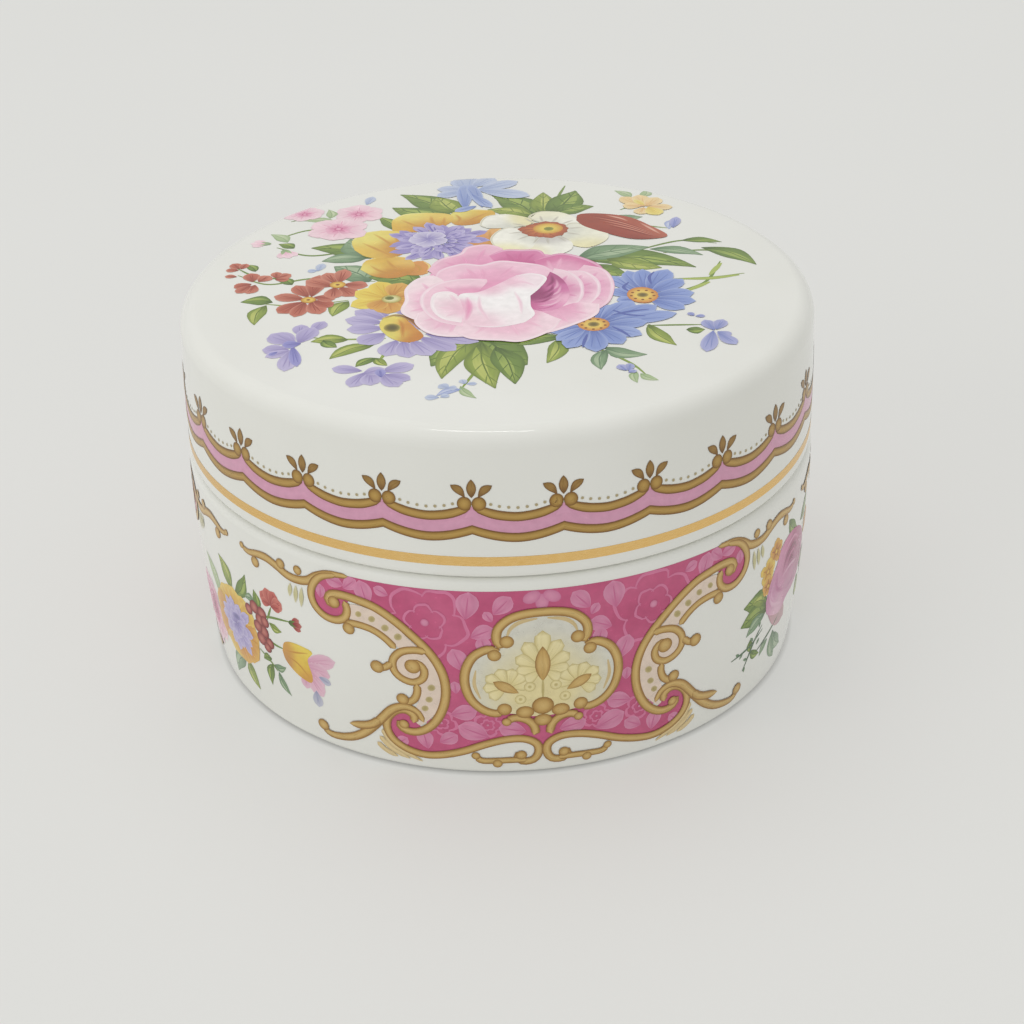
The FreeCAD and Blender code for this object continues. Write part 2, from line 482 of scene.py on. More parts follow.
# ---------------------------------------------------------------- painted flowers
GREEN = ((70, 92, 40), (116, 142, 64), (176, 192, 98))
OLIVE = ((84, 104, 44), (146, 164, 72), (204, 208, 116))
BLUE_GREEN = ((84, 112, 82), (132, 160, 122), (186, 202, 168))
PALE_GREEN = ((140, 166, 120), (176, 196, 148), (206, 216, 180))
YELLOW = ((190, 126, 44), (222, 176, 70), (240, 214, 108))
AMBER = ((170, 100, 40), (212, 150, 62), (232, 190, 92))
LILAC = ((116, 102, 168), (160, 148, 202), (202, 192, 226))
BLUE = ((76, 92, 168), (120, 138, 204), (178, 188, 228))
PALE_BLUE = ((140, 154, 204), (178, 188, 222), (208, 214, 232))
CRIMSON = ((112, 32, 40), (156, 62, 62), (198, 120, 110))
ROSE = ((186, 76, 122), (226, 140, 174), (244, 196, 212))
BLUSH = ((222, 132, 168), (242, 186, 206), (250, 222, 230))
EYE = ((118, 72, 30), (222, 164, 60), (240, 206, 92))


def turned_to(u, v, angle, distance):
    return u + math.cos(angle) * distance, v + math.sin(angle) * distance


def blossom(p, u, v, radius, tones, count=5, centre=0.24, turn=0.3, middle=EYE, wide=0.88):
    """Small flower of round petals with paler edges."""
    for k in range(count):
        angle = turn + k * math.tau / count + p.random.uniform(-0.12, 0.12)
        tip = turned_to(u, v, angle, radius * p.random.uniform(0.88, 1.08))
        p.petal((u, v), tip, radius * wide * p.random.uniform(0.9, 1.1), tones,
                rim=mix(tones[1], tones[2], 0.6), widest=0.66, blunt=0.58, cut=-0.06)
        p.line([turned_to(u, v, angle, radius * 0.2), turned_to(u, v, angle, radius * 0.72)], 0.22,
               tones[0])
    if centre:
        p.disc(u, v, radius * centre, (middle[2], middle[1], middle[0]), around=12)


def bud(p, u, v, angle, size, tones, green=GREEN):
    """Closed bud in its green cup."""
    for side in (0.5, -0.5, 0.0):
        p.petal((u, v), turned_to(u, v, angle + side, size * (1 - 0.12 * abs(side))), size * 0.55,
                tones, rim=tones[2], widest=0.6, blunt=0.6)
    for side in (0.55, -0.55):
        p.petal(turned_to(u, v, angle, -size * 0.25), turned_to(u, v, angle + side, size * 0.5),
                size * 0.25, (green[0], green[1]), widest=0.4, blunt=1.0)


def heart_rose(p, u, v, radius, lean):
    """Cabbage rose: rings of cupped petals that close round a heart off to one side."""
    lu, lv = u + lean[0] * radius, v + lean[1] * radius
    rings = ((1.0, 9, 0.86, 0.0), (0.85, 8, 0.80, 0.3), (0.69, 7, 0.70, 0.55), (0.52, 6, 0.6, 0.8))
    for ring, (reach, count, width, share) in enumerate(rings):
        cu, cv = mix((u, v), (lu, lv), share)
        for k in range(count):
            angle = 1.2 + ring * 0.37 + (k if k % 2 else -k) * math.tau / count
            far = radius * reach * p.random.uniform(0.95, 1.04)
            shade = 0.5 + 0.5 * math.sin(angle - 0.4)
            inner = mix(ROSE[0], ROSE[1], 0.4 + 0.3 * (1 - shade))
            middle = mix(BLUSH[1], ROSE[1], shade * 0.75)
            outer = mix(BLUSH[2], BLUSH[1], shade)
            x, y = turned_to(0, 0, angle, far)
            p.petal((cu, cv), (cu + x, cv + y), radius * width,
                    (inner, inner, middle, outer), rim=mix(BLUSH[2], ROSE[1], 0.12 * ring),
                    widest=0.74, blunt=0.4, bend=p.random.uniform(-0.05, 0.05), ruffle=0.05)
            for vein in (-0.2, -0.07, 0.06, 0.19):
                a = angle + vein
                p.line([(cu + math.cos(a) * far * 0.62, cv + math.sin(a) * far * 0.62),
                        (cu + math.cos(a) * far * 0.9, cv + math.sin(a) * far * 0.9)],
                       0.3, mix(middle, ROSE[0], 0.14))


def rose_heart(p, u, v, radius):
    """Dark folded centre of a rose: nested arcs of petal edges."""
    deep = mix(ROSE[0], (140, 40, 84), 0.4)
    p.disc(u, v, radius, (deep, mix(ROSE[0], ROSE[1], 0.3), ROSE[1]), flat=1.4, around=22)
    for k in range(8):
        share = 1 - k * 0.115
        a0 = 0.4 + k * 1.15
        arc = [(u + math.cos(a0 + t) * radius * share * 0.86,
                v + math.sin(a0 + t) * radius * share * 1.2) for t in (0, 0.6, 1.2, 1.8)]
        p.line(arc, radius * 0.15, mix(ROSE[1], BLUSH[1], 0.8 - k * 0.09))
        arc = [(u + (x - u) * 0.87, v + (y - v) * 0.87) for x, y in arc]
        p.line(arc, radius * 0.09, deep)


# ---------------------------------------------------------------- lid border
def lid_border():
    """Scalloped pink band between gold lines, with volutes, palmettes and dots at each cusp."""
    pitch = math.tau * PRINT_RADIUS / SCALLOPS
    ground = Print(on_lid_side, BROAD_LAYER, seed=3)
    gold = Print(on_lid_side, BROAD_LAYER, seed=4, base=BORDER_GOLD_BASE)
    palmette = (BROWN_GOLD[0], BROWN_GOLD[2], BROWN_GOLD[1])

    def droop(u):
        """1 at a cusp and 0 in the middle of a scallop."""
        return 1 - abs(math.remainder(u, pitch)) / (pitch / 2)

    def lower(u):
        return 45.4 + 1.45 * droop(u) ** 1.8

    places = np.linspace(0, pitch * SCALLOPS, SCALLOPS * 16 + 1)
    ground.grid([[(SCALLOP_PHASE + u, lower(u) + k * (3.4 + 0.6 * droop(u) ** 3),
                   mix(BAND_PINK, PINK, 0.1 * side), (u * 0.5, k * 2, 0))
                  for k, side in ((1.0, 1), (0.5, 0), (0.0, 1))] for u in places])
    gold.grid([[(SCALLOP_PHASE + u, lower(u) + across * 0.8, ramp(GOLD_EDGE, tone), (u * 0.35, across * 2, 1))
                for across, tone in ((1, 0), (0.8, 0.1), (0.5, 0.6), (0, 1), (-0.5, 0.7), (-0.8, 0.2),
                                     (-1, 0))]
               for u in places])
    for scallop in range(SCALLOPS):
        cusp = SCALLOP_PHASE + scallop * pitch
        ground.fill([(cusp - 1.3, 48.8), (cusp + 1.3, 48.8), (cusp + 0.3, 50.2), (cusp - 0.3, 50.2)],
                    lambda u, v: BAND_PINK, spacing=0.7, curved=False)
        half = [(1.0, 51.9), (0.62, 51.1), (1.1, 50.4), (2.2, 49.9), (3.8, 49.4), (5.6, 49.1)]
        line = half + [(pitch / 2, 49.0)] + [(pitch - u, v) for u, v in half[::-1]]
        gold.stroke([(cusp + u, v) for u, v in line], 1.6, GOLD_EDGE, ends=(0.7, 0.7))
        for side in (1, -1):
            gold.disc(cusp + side * 1.12, 51.3, 1.12, GOLD_EDGE[::-1], flat=1.05, around=22)
            gold.petal((cusp + side * 1.0, 52.3), (cusp + side * 3.15, 54.4), 1.35, palmette,
                       rim=BROWN_GOLD[0], widest=0.58, blunt=0.75, bend=-0.1 * side)
            for u, v in ((2.9, 51.2), (4.2, 50.85), (5.6, 50.65)):
                gold.disc(cusp + side * u, v, 0.27, DOTS, around=10)
        gold.petal((cusp, 52.3), (cusp, 55.4), 1.5, palmette, rim=BROWN_GOLD[0], widest=0.5, blunt=0.75)
        gold.disc(cusp + pitch / 2, 50.55, 0.27, DOTS, around=10)
    ground.build("lid_border_pink", enamel, "jar_lid")
    gold.build("lid_border_gold", gold_print, "jar_lid")


def gold_band():
    """Burnished gold line round the lid, just above its lip."""
    band = Print(on_lid_side, BROAD_LAYER, seed=5)
    around = np.linspace(0, math.tau * PRINT_RADIUS, TURN_STEPS + 1)
    heights = (42.05, 41.9, 41.6, 41.2, 40.8, 40.55, 40.4)
    band.grid([[(s, z, GOLD[1], (s * 0.4, z * 4, 0)) for z in heights] for s in around])
    band.build("lid_gold_band", burnished_gold, "jar_lid")


# ---------------------------------------------------------------- cartouche
GROUND_EDGE = [
    (0, 36.0), (-16, 36.0), (-30, 36.0), (-33.5, 35.6), (-36.4, 34.4), (-38.0, 32.0), (-38.2, 30.0),
    (-37.2, 28.2), (-35.2, 27.2), (-32.8, 27.6), (-31.4, 29.2), (-31.3, 31.2), (-29.0, 31.8),
    (-26.0, 31.0), (-23.0, 29.4), (-20.0, 26.6), (-17.6, 23.8), (-16.0, 20.6), (-15.6, 17.4),
    (-16.2, 14.0), (-17.6, 11.2), (-19.6, 9.0), (-21.4, 10.4), (-22.2, 11.6), (-24.2, 11.4),
    (-25.8, 9.6), (-26.2, 7.4), (-25.4, 5.6), (-23.4, 4.2), (-20.4, 3.4), (-17.0, 3.7),
    (-13.0, 4.8), (-9.0, 6.4), (-5.0, 7.4), (-1.6, 6.9), (-0.5, 5.2), (0, 4.6),
]

SCROLLS = [
    # long tip at the top corner
    ([(-31, 35.9), (-34.5, 35.5), (-37, 34.3), (-38.8, 33.0), (-41, 32.4), (-43.2, 32.5),
      (-45.4, 33.3), (-48, 33.9), (-50.5, 33.6), (-52.6, 33.1), (-54.4, 33.4)], 1.45, (0.5, 0.55)),
    # loop round the corner
    ([(-33.2, 35.6), (-36.0, 34.6), (-37.7, 32.8), (-38.3, 30.6), (-37.6, 28.6), (-35.8, 27.3),
      (-33.6, 27.2), (-32.0, 28.2), (-31.5, 29.8), (-32.0, 31.2)], 1.35, (0.6, 1)),
    # C-scroll facing the middle
    ([(-33.6, 30.4), (-34.4, 30.0), (-35.0, 30.8), (-34.3, 31.8), (-32.4, 32.2), (-29.6, 32.0),
      (-26.6, 31.3), (-23.6, 29.6), (-20.8, 27.3), (-18.2, 24.6), (-16.4, 21.6), (-15.6, 18.4),
      (-15.8, 15.0), (-16.9, 11.8), (-18.6, 9.4), (-20.8, 8.0), (-22.9, 8.0), (-23.8, 9.0),
      (-23.2, 9.8)], 1.45, (1, 1)),
    # lower edge of the upper inlay
    ([(-31.6, 26.2), (-31.4, 27.2), (-29.6, 27.4), (-27.2, 27.0), (-25.2, 25.9), (-23.4, 24.2)],
     1.25, (1, 1)),
    # inner volute
    ([(-18.4, 24.3), (-20.4, 24.4), (-22.6, 23.7), (-24.0, 22.0), (-24.0, 20.0), (-22.8, 18.6),
      (-20.9, 18.1), (-19.3, 19.0), (-18.9, 20.7), (-19.9, 21.9), (-21.2, 21.5), (-21.0, 20.5)],
     1.3, (1, 1)),
    ([(-24.3, 21.4), (-25.2, 20.4), (-26.4, 19.9), (-27.0, 20.3)], 1.2, (1, 1)),
    ([(-20.3, 17.8), (-20.3, 16.2), (-21.0, 14.6), (-22.4, 13.8), (-23.2, 14.5)], 1.25, (1, 1)),
    # foot loop and its tail
    ([(-21.4, 9.8), (-21.2, 11.2), (-22.6, 12.2), (-24.4, 11.7), (-25.9, 9.9), (-26.2, 7.6),
      (-25.2, 5.5), (-23.0, 4.0), (-20.0, 3.3), (-16.8, 3.7), (-13.2, 4.8), (-9.5, 6.4),
      (-6.0, 7.4), (-3.0, 7.4), (-1.0, 6.2), (-0.7, 4.4), (-1.6, 2.9), (-3.4, 2.7), (-4.2, 3.8),
      (-3.5, 4.6)], 1.4, (1, 1)),
    ([(-19.6, 10.2), (-20.6, 12.2), (-22.6, 12.9), (-24.8, 12.0), (-26.8, 9.8), (-28.6, 7.6),
      (-30.6, 5.6), (-33.0, 4.0), (-35.6, 3.1), (-38.0, 2.9), (-39.4, 3.9)], 1.5, (0.6, 0.8)),
    ([(-27.4, 9.2), (-29.0, 7.8), (-31.2, 7.0), (-33.4, 6.7)], 1.5, (1, 0.3)),
    # foot scroll under the middle
    ([(-2.6, 2.9), (-5.0, 3.0), (-7.8, 2.9), (-10.2, 2.9), (-11.2, 3.7)], 1.15, (0.8, 1)),
]

KNOBS = [
    (-44.5, 34.1, 0.95), (-40.8, 34.2, 0.85), (-50.9, 31.9, 1.0), (-54.4, 33.6, 0.6),
    (-31.5, 26.2, 1.1), (-33.9, 30.5, 1.1), (-26.9, 20.0, 1.2), (-22.9, 14.4, 1.1),
    (-20.8, 21.2, 1.35), (-23.1, 9.2, 0.9), (-39.2, 4.3, 1.15), (-3.6, 4.0, 0.95),
    (-7.6, 2.3, 0.85), (-11.2, 3.9, 0.75),
]

UPPER_INLAY = [(-31.2, 28.2), (-31.2, 30.6), (-29.0, 31.0), (-26.0, 30.2), (-23.0, 28.2),
               (-20.4, 25.6), (-19.2, 24.4), (-21.2, 24.2), (-23.2, 24.6), (-25.2, 26.4),
               (-27.4, 27.5), (-29.4, 27.9)]
LOWER_INLAY = [(-19.8, 24.4), (-17.8, 23.0), (-16.3, 18.6), (-16.4, 15.2), (-17.4, 12.4),
               (-20.3, 9.4), (-21.0, 11.2), (-20.6, 13.4), (-19.9, 15.2), (-19.8, 18.0),
               (-18.6, 19.6), (-18.8, 22.0)]
BEADS = [(-29.5, 29.4, 0.62), (-27.2, 29.0, 0.66), (-25.0, 27.8, 0.72), (-22.9, 26.5, 0.74),
         (-17.9, 17.4, 0.72), (-18.4, 15.0, 0.68), (-19.2, 13.1, 0.66)]
VOLUTE_GROUND = [(-19.4, 24.2), (-22.2, 23.4), (-23.6, 21.4), (-23.2, 19.4), (-21.2, 18.6),
                 (-19.4, 19.4), (-18.2, 21.4)]


def tone_flower(p, u, v, radius, turn=0.2):
    """Flower in the ground's own colour: two rings of lobes drawn in pale lines."""
    for reach, size, width in ((0.56, 0.42, 0.6), (0.26, 0.22, 0.46)):
        for k in range(5):
            angle = turn + reach * 2 + k * math.tau / 5
            cu, cv = turned_to(u, v, angle, radius * reach)
            lobe = [turned_to(cu, cv, angle + a, radius * size * (1 + 0.07 * math.sin(5 * a + k)))
                    for a in (-1.6, -1.1, -0.5, 0.0, 0.5, 1.1, 1.6)]
            p.line([(x, min(y, 35.6)) for x, y in lobe], width, (218, 124, 162))
    p.disc(u, v, radius * 0.1, (PINK_LIGHT, (214, 134, 166), (202, 104, 144)), around=14)


def tone_leaf(p, u, v, length, angle):
    root = turned_to(u, v, angle, -length / 2)
    tip = turned_to(u, v, angle, length / 2)
    p.petal(root, tip, length * 0.74, ((204, 106, 148), (218, 142, 174), (212, 126, 162)),
            rim=(220, 146, 178), widest=0.58, blunt=0.6)
    p.line([root, turned_to(u, v, angle, length * 0.3)], 0.25, (204, 110, 150))


def cartouche(number):
    """Pink panel with its gold scrolls and inlays, and the shield in its middle."""
    shift = CARTOUCHE_PLACES[number]
    ground = Print(on_wall, BROAD_LAYER, seed=20 + number, shift=shift)
    half = smooth(GROUND_EDGE, 0.7)[0]
    half = [(u, min(v, 36.0)) for u, v in half]
    edge = half + [(-u, v) for u, v in half[-2:0:-1]]

    def pink(u, v):
        cloud = noise.noise(Vector((u * 0.16, v * 0.16, 2.0 + number)))
        return mix(PINK, (206, 96, 136), 0.5 + cloud)

    ground.fill(edge, pink, spacing=1.3, curved=False)
    for side in (1, -1):
        tone_flower(ground, side * 18.4, 29.8, 7.0, turn=0.5 if side > 0 else 2.4)
        tone_flower(ground, side * 16.6, 10.4, 2.6, turn=1.2)
        tone_flower(ground, side * 9.0, 10.4, 2.4, turn=0.1)
        for u, v, length, angle in (
            (28.4, 33.6, 4.4, 1.3), (33.6, 34.4, 3.4, 0.2), (11.6, 33.4, 5.0, 1.7),
            (6.2, 33.4, 4.2, 2.3), (13.4, 23.2, 4.4, 1.2), (14.0, 17.8, 2.4, 1.5),
            (12.8, 12.8, 4.4, 2.9), (11.4, 9.0, 5.4, 0.4), (19.6, 6.6, 4.0, 1.4), (5.0, 9.4, 4.6, 0.2),
            (23.8, 5.4, 2.8, 2.4), (25.4, 34.4, 2.6, 0.4), (9.4, 28.4, 4.0, 2.7), (36.4, 31.8, 2.6, 1.6),
            (8.4, 31.4, 2.2, 1.0), (15.6, 7.2, 3.6, 2.6), (9.2, 26.0, 3.4, 1.3), (30.8, 34.6, 3.2, 2.4),
        ):
            tone_leaf(ground, side * u, v, length, angle if side > 0 else math.pi - angle)
    for angle in (-1.57, -0.5, 3.64):
        ground.disc(*turned_to(0, 35.6, angle, 1.8), 1.5, (PINK_LIGHT, (206, 120, 158)), flat=0.7,
                    turn=angle)
    ground.build(f"cartouche_pink_{number}", enamel, "jar_bowl")

    gold = Print(on_wall, BROAD_LAYER, seed=30 + number, shift=shift, base=SCROLL_BASE)
    for side in (1, -1):
        def mirrored(outline):
            return [(u * side, v) for u, v in outline]

        for inlay in (UPPER_INLAY, LOWER_INLAY, VOLUTE_GROUND):
            gold.fill(mirrored(inlay), lambda u, v: mix(CREAM, (236, 210, 200), 0.35), spacing=1.0)
        for u, v, radius in BEADS:
            gold.disc(u, v, radius, ((178, 162, 108), (190, 172, 120), (212, 196, 160)), flat=0.85,
                      turn=0.8, mirror=side)
        for base, length in ((-42.6, 2.6), (-41.4, 3.4), (-40.2, 3.8)):
            gold.petal((base * side, 31.2), ((base - 0.4) * side, 31.2 - length), 0.9,
                       ((222, 214, 176), (206, 200, 150), (222, 214, 176)), widest=0.5, blunt=0.9)
        for start, middle, end in (
            ((-28.4, 4.2), (-27.0, 2.9), (-24.8, 1.9)), ((-27.8, 5.6), (-25.8, 3.5), (-22.6, 1.9)),
            ((-27.2, 7.2), (-25.4, 4.4), (-20.4, 1.7)),
        ):
            gold.stroke([start, middle, end], 1.0, ((212, 188, 140), (222, 196, 142), (230, 208, 158)),
                        ends=(0.9, 0.2), mirror=side)
        for path, width, ends in SCROLLS:
            gold.stroke(path, width * 1.1, GOLD, ends=ends, mirror=side)
        for u, v, radius in KNOBS:
            gold.disc(u, v, radius, GOLD[::-1], mirror=side)
    gold.build(f"cartouche_scrolls_{number}", gold_print, "jar_bowl")
    shield(number, shift)


def shield(number, shift):
    """Cream shield with three shell palmettes, framed by gold C-scrolls."""
    p = Print(on_wall, SHIELD_LAYER, seed=40 + number, shift=shift, base=SHIELD_BASE)
    outline = [(0, 32.0), (4.2, 31.3), (7.0, 29.0), (7.3, 26.0), (9.6, 25.2), (12.0, 22.0),
               (12.2, 18.0), (10.6, 14.6), (8.0, 13.0), (5.0, 12.8), (2.6, 12.2), (0, 12.0)]
    cream = outline + [(-u, v) for u, v in outline[-2:0:-1]]

    def glow(u, v):
        return mix((234, 220, 166), (222, 220, 208), (math.hypot(u, v - 17) - 4) / 8)

    p.fill(cream, glow, spacing=1.2)
    shell = ((214, 196, 132), (236, 222, 166), (242, 230, 182))
    rim = (198, 182, 122)
    for reach, width, angles in ((7.2, 2.7, (0.0,)), (6.0, 2.5, (0.5, -0.5)), (5.0, 2.4, (1.05, -1.05)),
                                 (4.4, 2.2, (1.65, -1.65)), (3.8, 2.0, (2.25, -2.25))):
        for angle in angles:
            p.petal((0, 21.4), turned_to(0, 21.4, math.pi / 2 + angle, reach), width, shell, rim=rim,
                    widest=0.76, blunt=0.42)
    for side in (1, -1):
        for angle, reach in ((3.0, 3.4), (2.4, 3.6), (1.8, 3.8), (1.2, 4.0), (0.6, 4.2), (0.0, 4.0),
                             (-0.6, 3.6)):
            tip = turned_to(5.6, 18.0, angle, reach)
            p.petal((5.6 * side, 18.0), (tip[0] * side, tip[1]), 2.1, shell, rim=rim, widest=0.76,
                    blunt=0.42)
        p.petal((3.9 * side, 16.9), (7.9 * side, 19.2), 1.9, (GOLD[1], GOLD[2], GOLD[1]), rim=GOLD[0],
                widest=0.55, blunt=0.7)
    p.petal((0, 19.0), (0, 25.6), 2.5, (GOLD[1], GOLD[2], GOLD[1]), rim=GOLD[0], widest=0.5, blunt=0.75)
    p.line([(0, 19.2), (0, 17.2), (0, 15.6)], 0.45, rim)
    for u, v in ((-2.1, 18.0), (2.1, 18.0), (-3.6, 15.6), (3.6, 15.6)):
        p.disc(u, v, 0.95, (shell[2], shell[1], rim), around=14)
        p.disc(u, v, 0.4, (rim, shell[1]), around=8)
    arch = [(5.8, 27.0), (6.6, 26.2), (7.2, 27.4), (6.9, 29.2), (5.4, 30.8), (3.2, 31.7)]
    p.stroke(arch + [(0, 32.0)] + [(-u, v) for u, v in arch[::-1]], 1.6, GOLD)
    for side in (1, -1):
        p.line([(5.6 * side, 27.6), (5.0 * side, 29.2), (3.4 * side, 30.4), (0.8 * side, 30.9)], 0.7,
               (214, 190, 140))
        p.line([(10.6 * side, 21.4), (10.9 * side, 18.6), (10.0 * side, 15.8)], 0.6, (214, 190, 140))
        p.stroke([(7.7, 24.6), (7.4, 25.2), (9.0, 25.3), (11.0, 23.9), (12.2, 21.4), (12.4, 18.6),
                  (11.6, 15.8), (9.9, 13.8), (7.8, 12.9), (6.4, 13.2)], 1.6, GOLD, mirror=side)
        for u, v, radius in ((5.6, 26.8, 1.15), (7.6, 24.3, 1.1), (6.2, 13.7, 1.2)):
            p.disc(u * side, v, radius, GOLD[::-1])
        p.stroke([(5.9 * side, 11.3), (4.6 * side, 11.9), (3.0 * side, 11.6), (1.7 * side, 10.5),
                  (1.2 * side, 9.0), (1.5 * side, 8.2)], 1.5, GOLD)
        p.disc(5.9 * side, 11.1, 0.8, GOLD[::-1])
        p.disc(2.9 * side, 13.0, 1.5, GOLD[::-1], flat=0.8)
    p.disc(0, 11.2, 1.5, GOLD[::-1], flat=0.8)
    p.disc(0, 14.1, 1.8, GOLD[::-1], flat=0.95)
    p.build(f"cartouche_shield_{number}", gold_print, "jar_bowl")


# ---------------------------------------------------------------- sprays on the wall
def yellow_spray(name, middle):
    """Amber flower with a lilac heart, berries, a red bud, a tulip and leaves."""
    p = Print(on_wall, FINE_LAYER, seed=51, shift=middle)
    for root, tip, width, tones in (
        ((-3, 22), (1.4, 27.8), 2.8, GREEN), ((-4, 22), (-8, 27.4), 3.4, OLIVE),
        ((4, 22), (3.6, 26.0), 2.2, GREEN), ((-9, 17), (-15.5, 24), 3.4, PALE_GREEN),
        ((-3, 9), (-8.5, 3.4), 3.4, BLUE_GREEN), ((-2, 9), (0.2, 4.0), 3.2, OLIVE),
        ((3.6, 23.6), (0.6, 23.2), 1.6, BLUE_GREEN), ((6.2, 13.4), (3.8, 12.4), 1.6, GREEN),
        ((6.4, 12.4), (5.0, 7.4), 2.0, GREEN), ((6.4, 12.2), (9.8, 13.2), 1.5, BLUE_GREEN),
        ((7.6, 11.4), (10.0, 7.4), 1.8, BLUE_GREEN), ((7.0, 21), (10.0, 20.4), 1.6, OLIVE),
    ):
        p.leaf(root, tip, width, tones, veins=2)
    for path in (
        [(4, 21), (8, 22.4), (12.6, 23.4)], [(6.6, 21.4), (8.0, 24.4)], [(6, 17.6), (7.6, 17.0), (9.8, 17)],
        [(3, 14), (5.6, 12.8), (7.4, 11.4)],
    ):
        p.line(path, 0.45, GREEN[1])
    heart_rose(p, -17.5, 11.5, 7.2, (0.2, 0.1))
    rose_heart(p, -16.0, 12.5, 2.4)
    for k, tones in enumerate((AMBER, YELLOW, YELLOW, YELLOW, AMBER, AMBER, YELLOW, AMBER, AMBER)):
        angle = 0.1 + k * math.tau / 9
        far = p.random.uniform(7.2, 8.6)
        p.petal(turned_to(-4.2, 15.4, angle, 2), turned_to(-4.2, 15.4, angle, far), 5.8,
                (tones[0], tones[1], tones[1], tones[2]), rim=mix(tones[1], tones[2], 0.7), widest=0.7,
                blunt=0.5, ruffle=0.06)
    for radius, count, wide in ((5.8, 12, 2.2), (4.4, 10, 2.1), (3.0, 7, 2.0)):
        for k in range(count):
            angle = radius + k * math.tau / count + p.random.uniform(-0.15, 0.15)
            p.petal((-4.0, 15.6), turned_to(-4.0, 15.6, angle, radius * p.random.uniform(0.85, 1.1)), wide,
                    LILAC, rim=(206, 198, 228), widest=0.7, blunt=0.7)
    p.disc(-3.6, 17.2, 1.5, ((112, 104, 160), (138, 130, 184), LILAC[1]), flat=0.45, turn=0.2)
    for u, v, radius in ((3.2, 22.4, 1.3), (5.2, 22.0, 1.3), (1.4, 21.2, 1.1), (4.4, 20.4, 1.2),
                         (5.8, 20.6, 1.1), (5.2, 18.4, 1.3), (6.4, 16.6, 1.1), (4.2, 16.6, 1.3),
                         (5.6, 15.4, 1.0), (3.6, 18.8, 1.2)):
        p.disc(u, v, radius, ((200, 128, 112), CRIMSON[1], (118, 52, 44)), around=12)
    p.dabs(((150, 56, 54), (194, 98, 88), (222, 146, 132)), (
        (8.2, 24.8, 5.4, 26.4, 2.6), (8.2, 24.8, 7.0, 27.8, 2.6), (8.2, 24.8, 9.2, 27.8, 2.6),
        (8.2, 24.8, 10.8, 26.2, 2.6), (8.0, 24.6, 10.4, 25.0, 1.8), (7.8, 24.8, 5.6, 25.0, 1.8),
    ))
    bud(p, 12.6, 23.2, 0.1, 2.4, CRIMSON)
    p.dabs(((214, 150, 178), (228, 180, 200), (236, 202, 214)), (
        (14.6, 16.4, 21.2, 18.6, 3.0), (14.6, 15.8, 19.8, 15.2, 3.6), (15.0, 15.2, 18.4, 12.8, 3.2),
        (15.0, 14.6, 17.8, 10.4, 3.4), (14.4, 14.0, 14.2, 10.8, 2.2),
    ))
    p.dabs(((150, 150, 184), (184, 186, 204), (206, 206, 218)), ((16.4, 11.2, 16.4, 7.8, 2.2),
                                                               (17.4, 14.4, 19.8, 13.6, 1.6)))
    cup = p.wash([(9.6, 16.6), (10.4, 18.6), (13.0, 19.4), (16.6, 19.0), (15.4, 17), (16.0, 14), (15.4, 12.4),
                  (12.6, 13), (10.2, 14.8)],
                 [(11, 17.6, 1.6, (214, 160, 80)), (13.6, 18.6, 1.6, (238, 212, 90)),
                  (13.8, 15.6, 1.6, (232, 196, 76)), (15, 13.2, 1.4, (216, 160, 70)),
                  (10.6, 15.4, 1.2, (200, 146, 84))], spacing=0.7)
    for path in ([(10.4, 17), (13, 17.6), (15.6, 18.4)], [(10.6, 16), (13, 15.4), (15.2, 13.6)]):
        p.fold(path, 0.5, (198, 138, 60), cup)
    p.build(name, enamel, "jar_bowl")


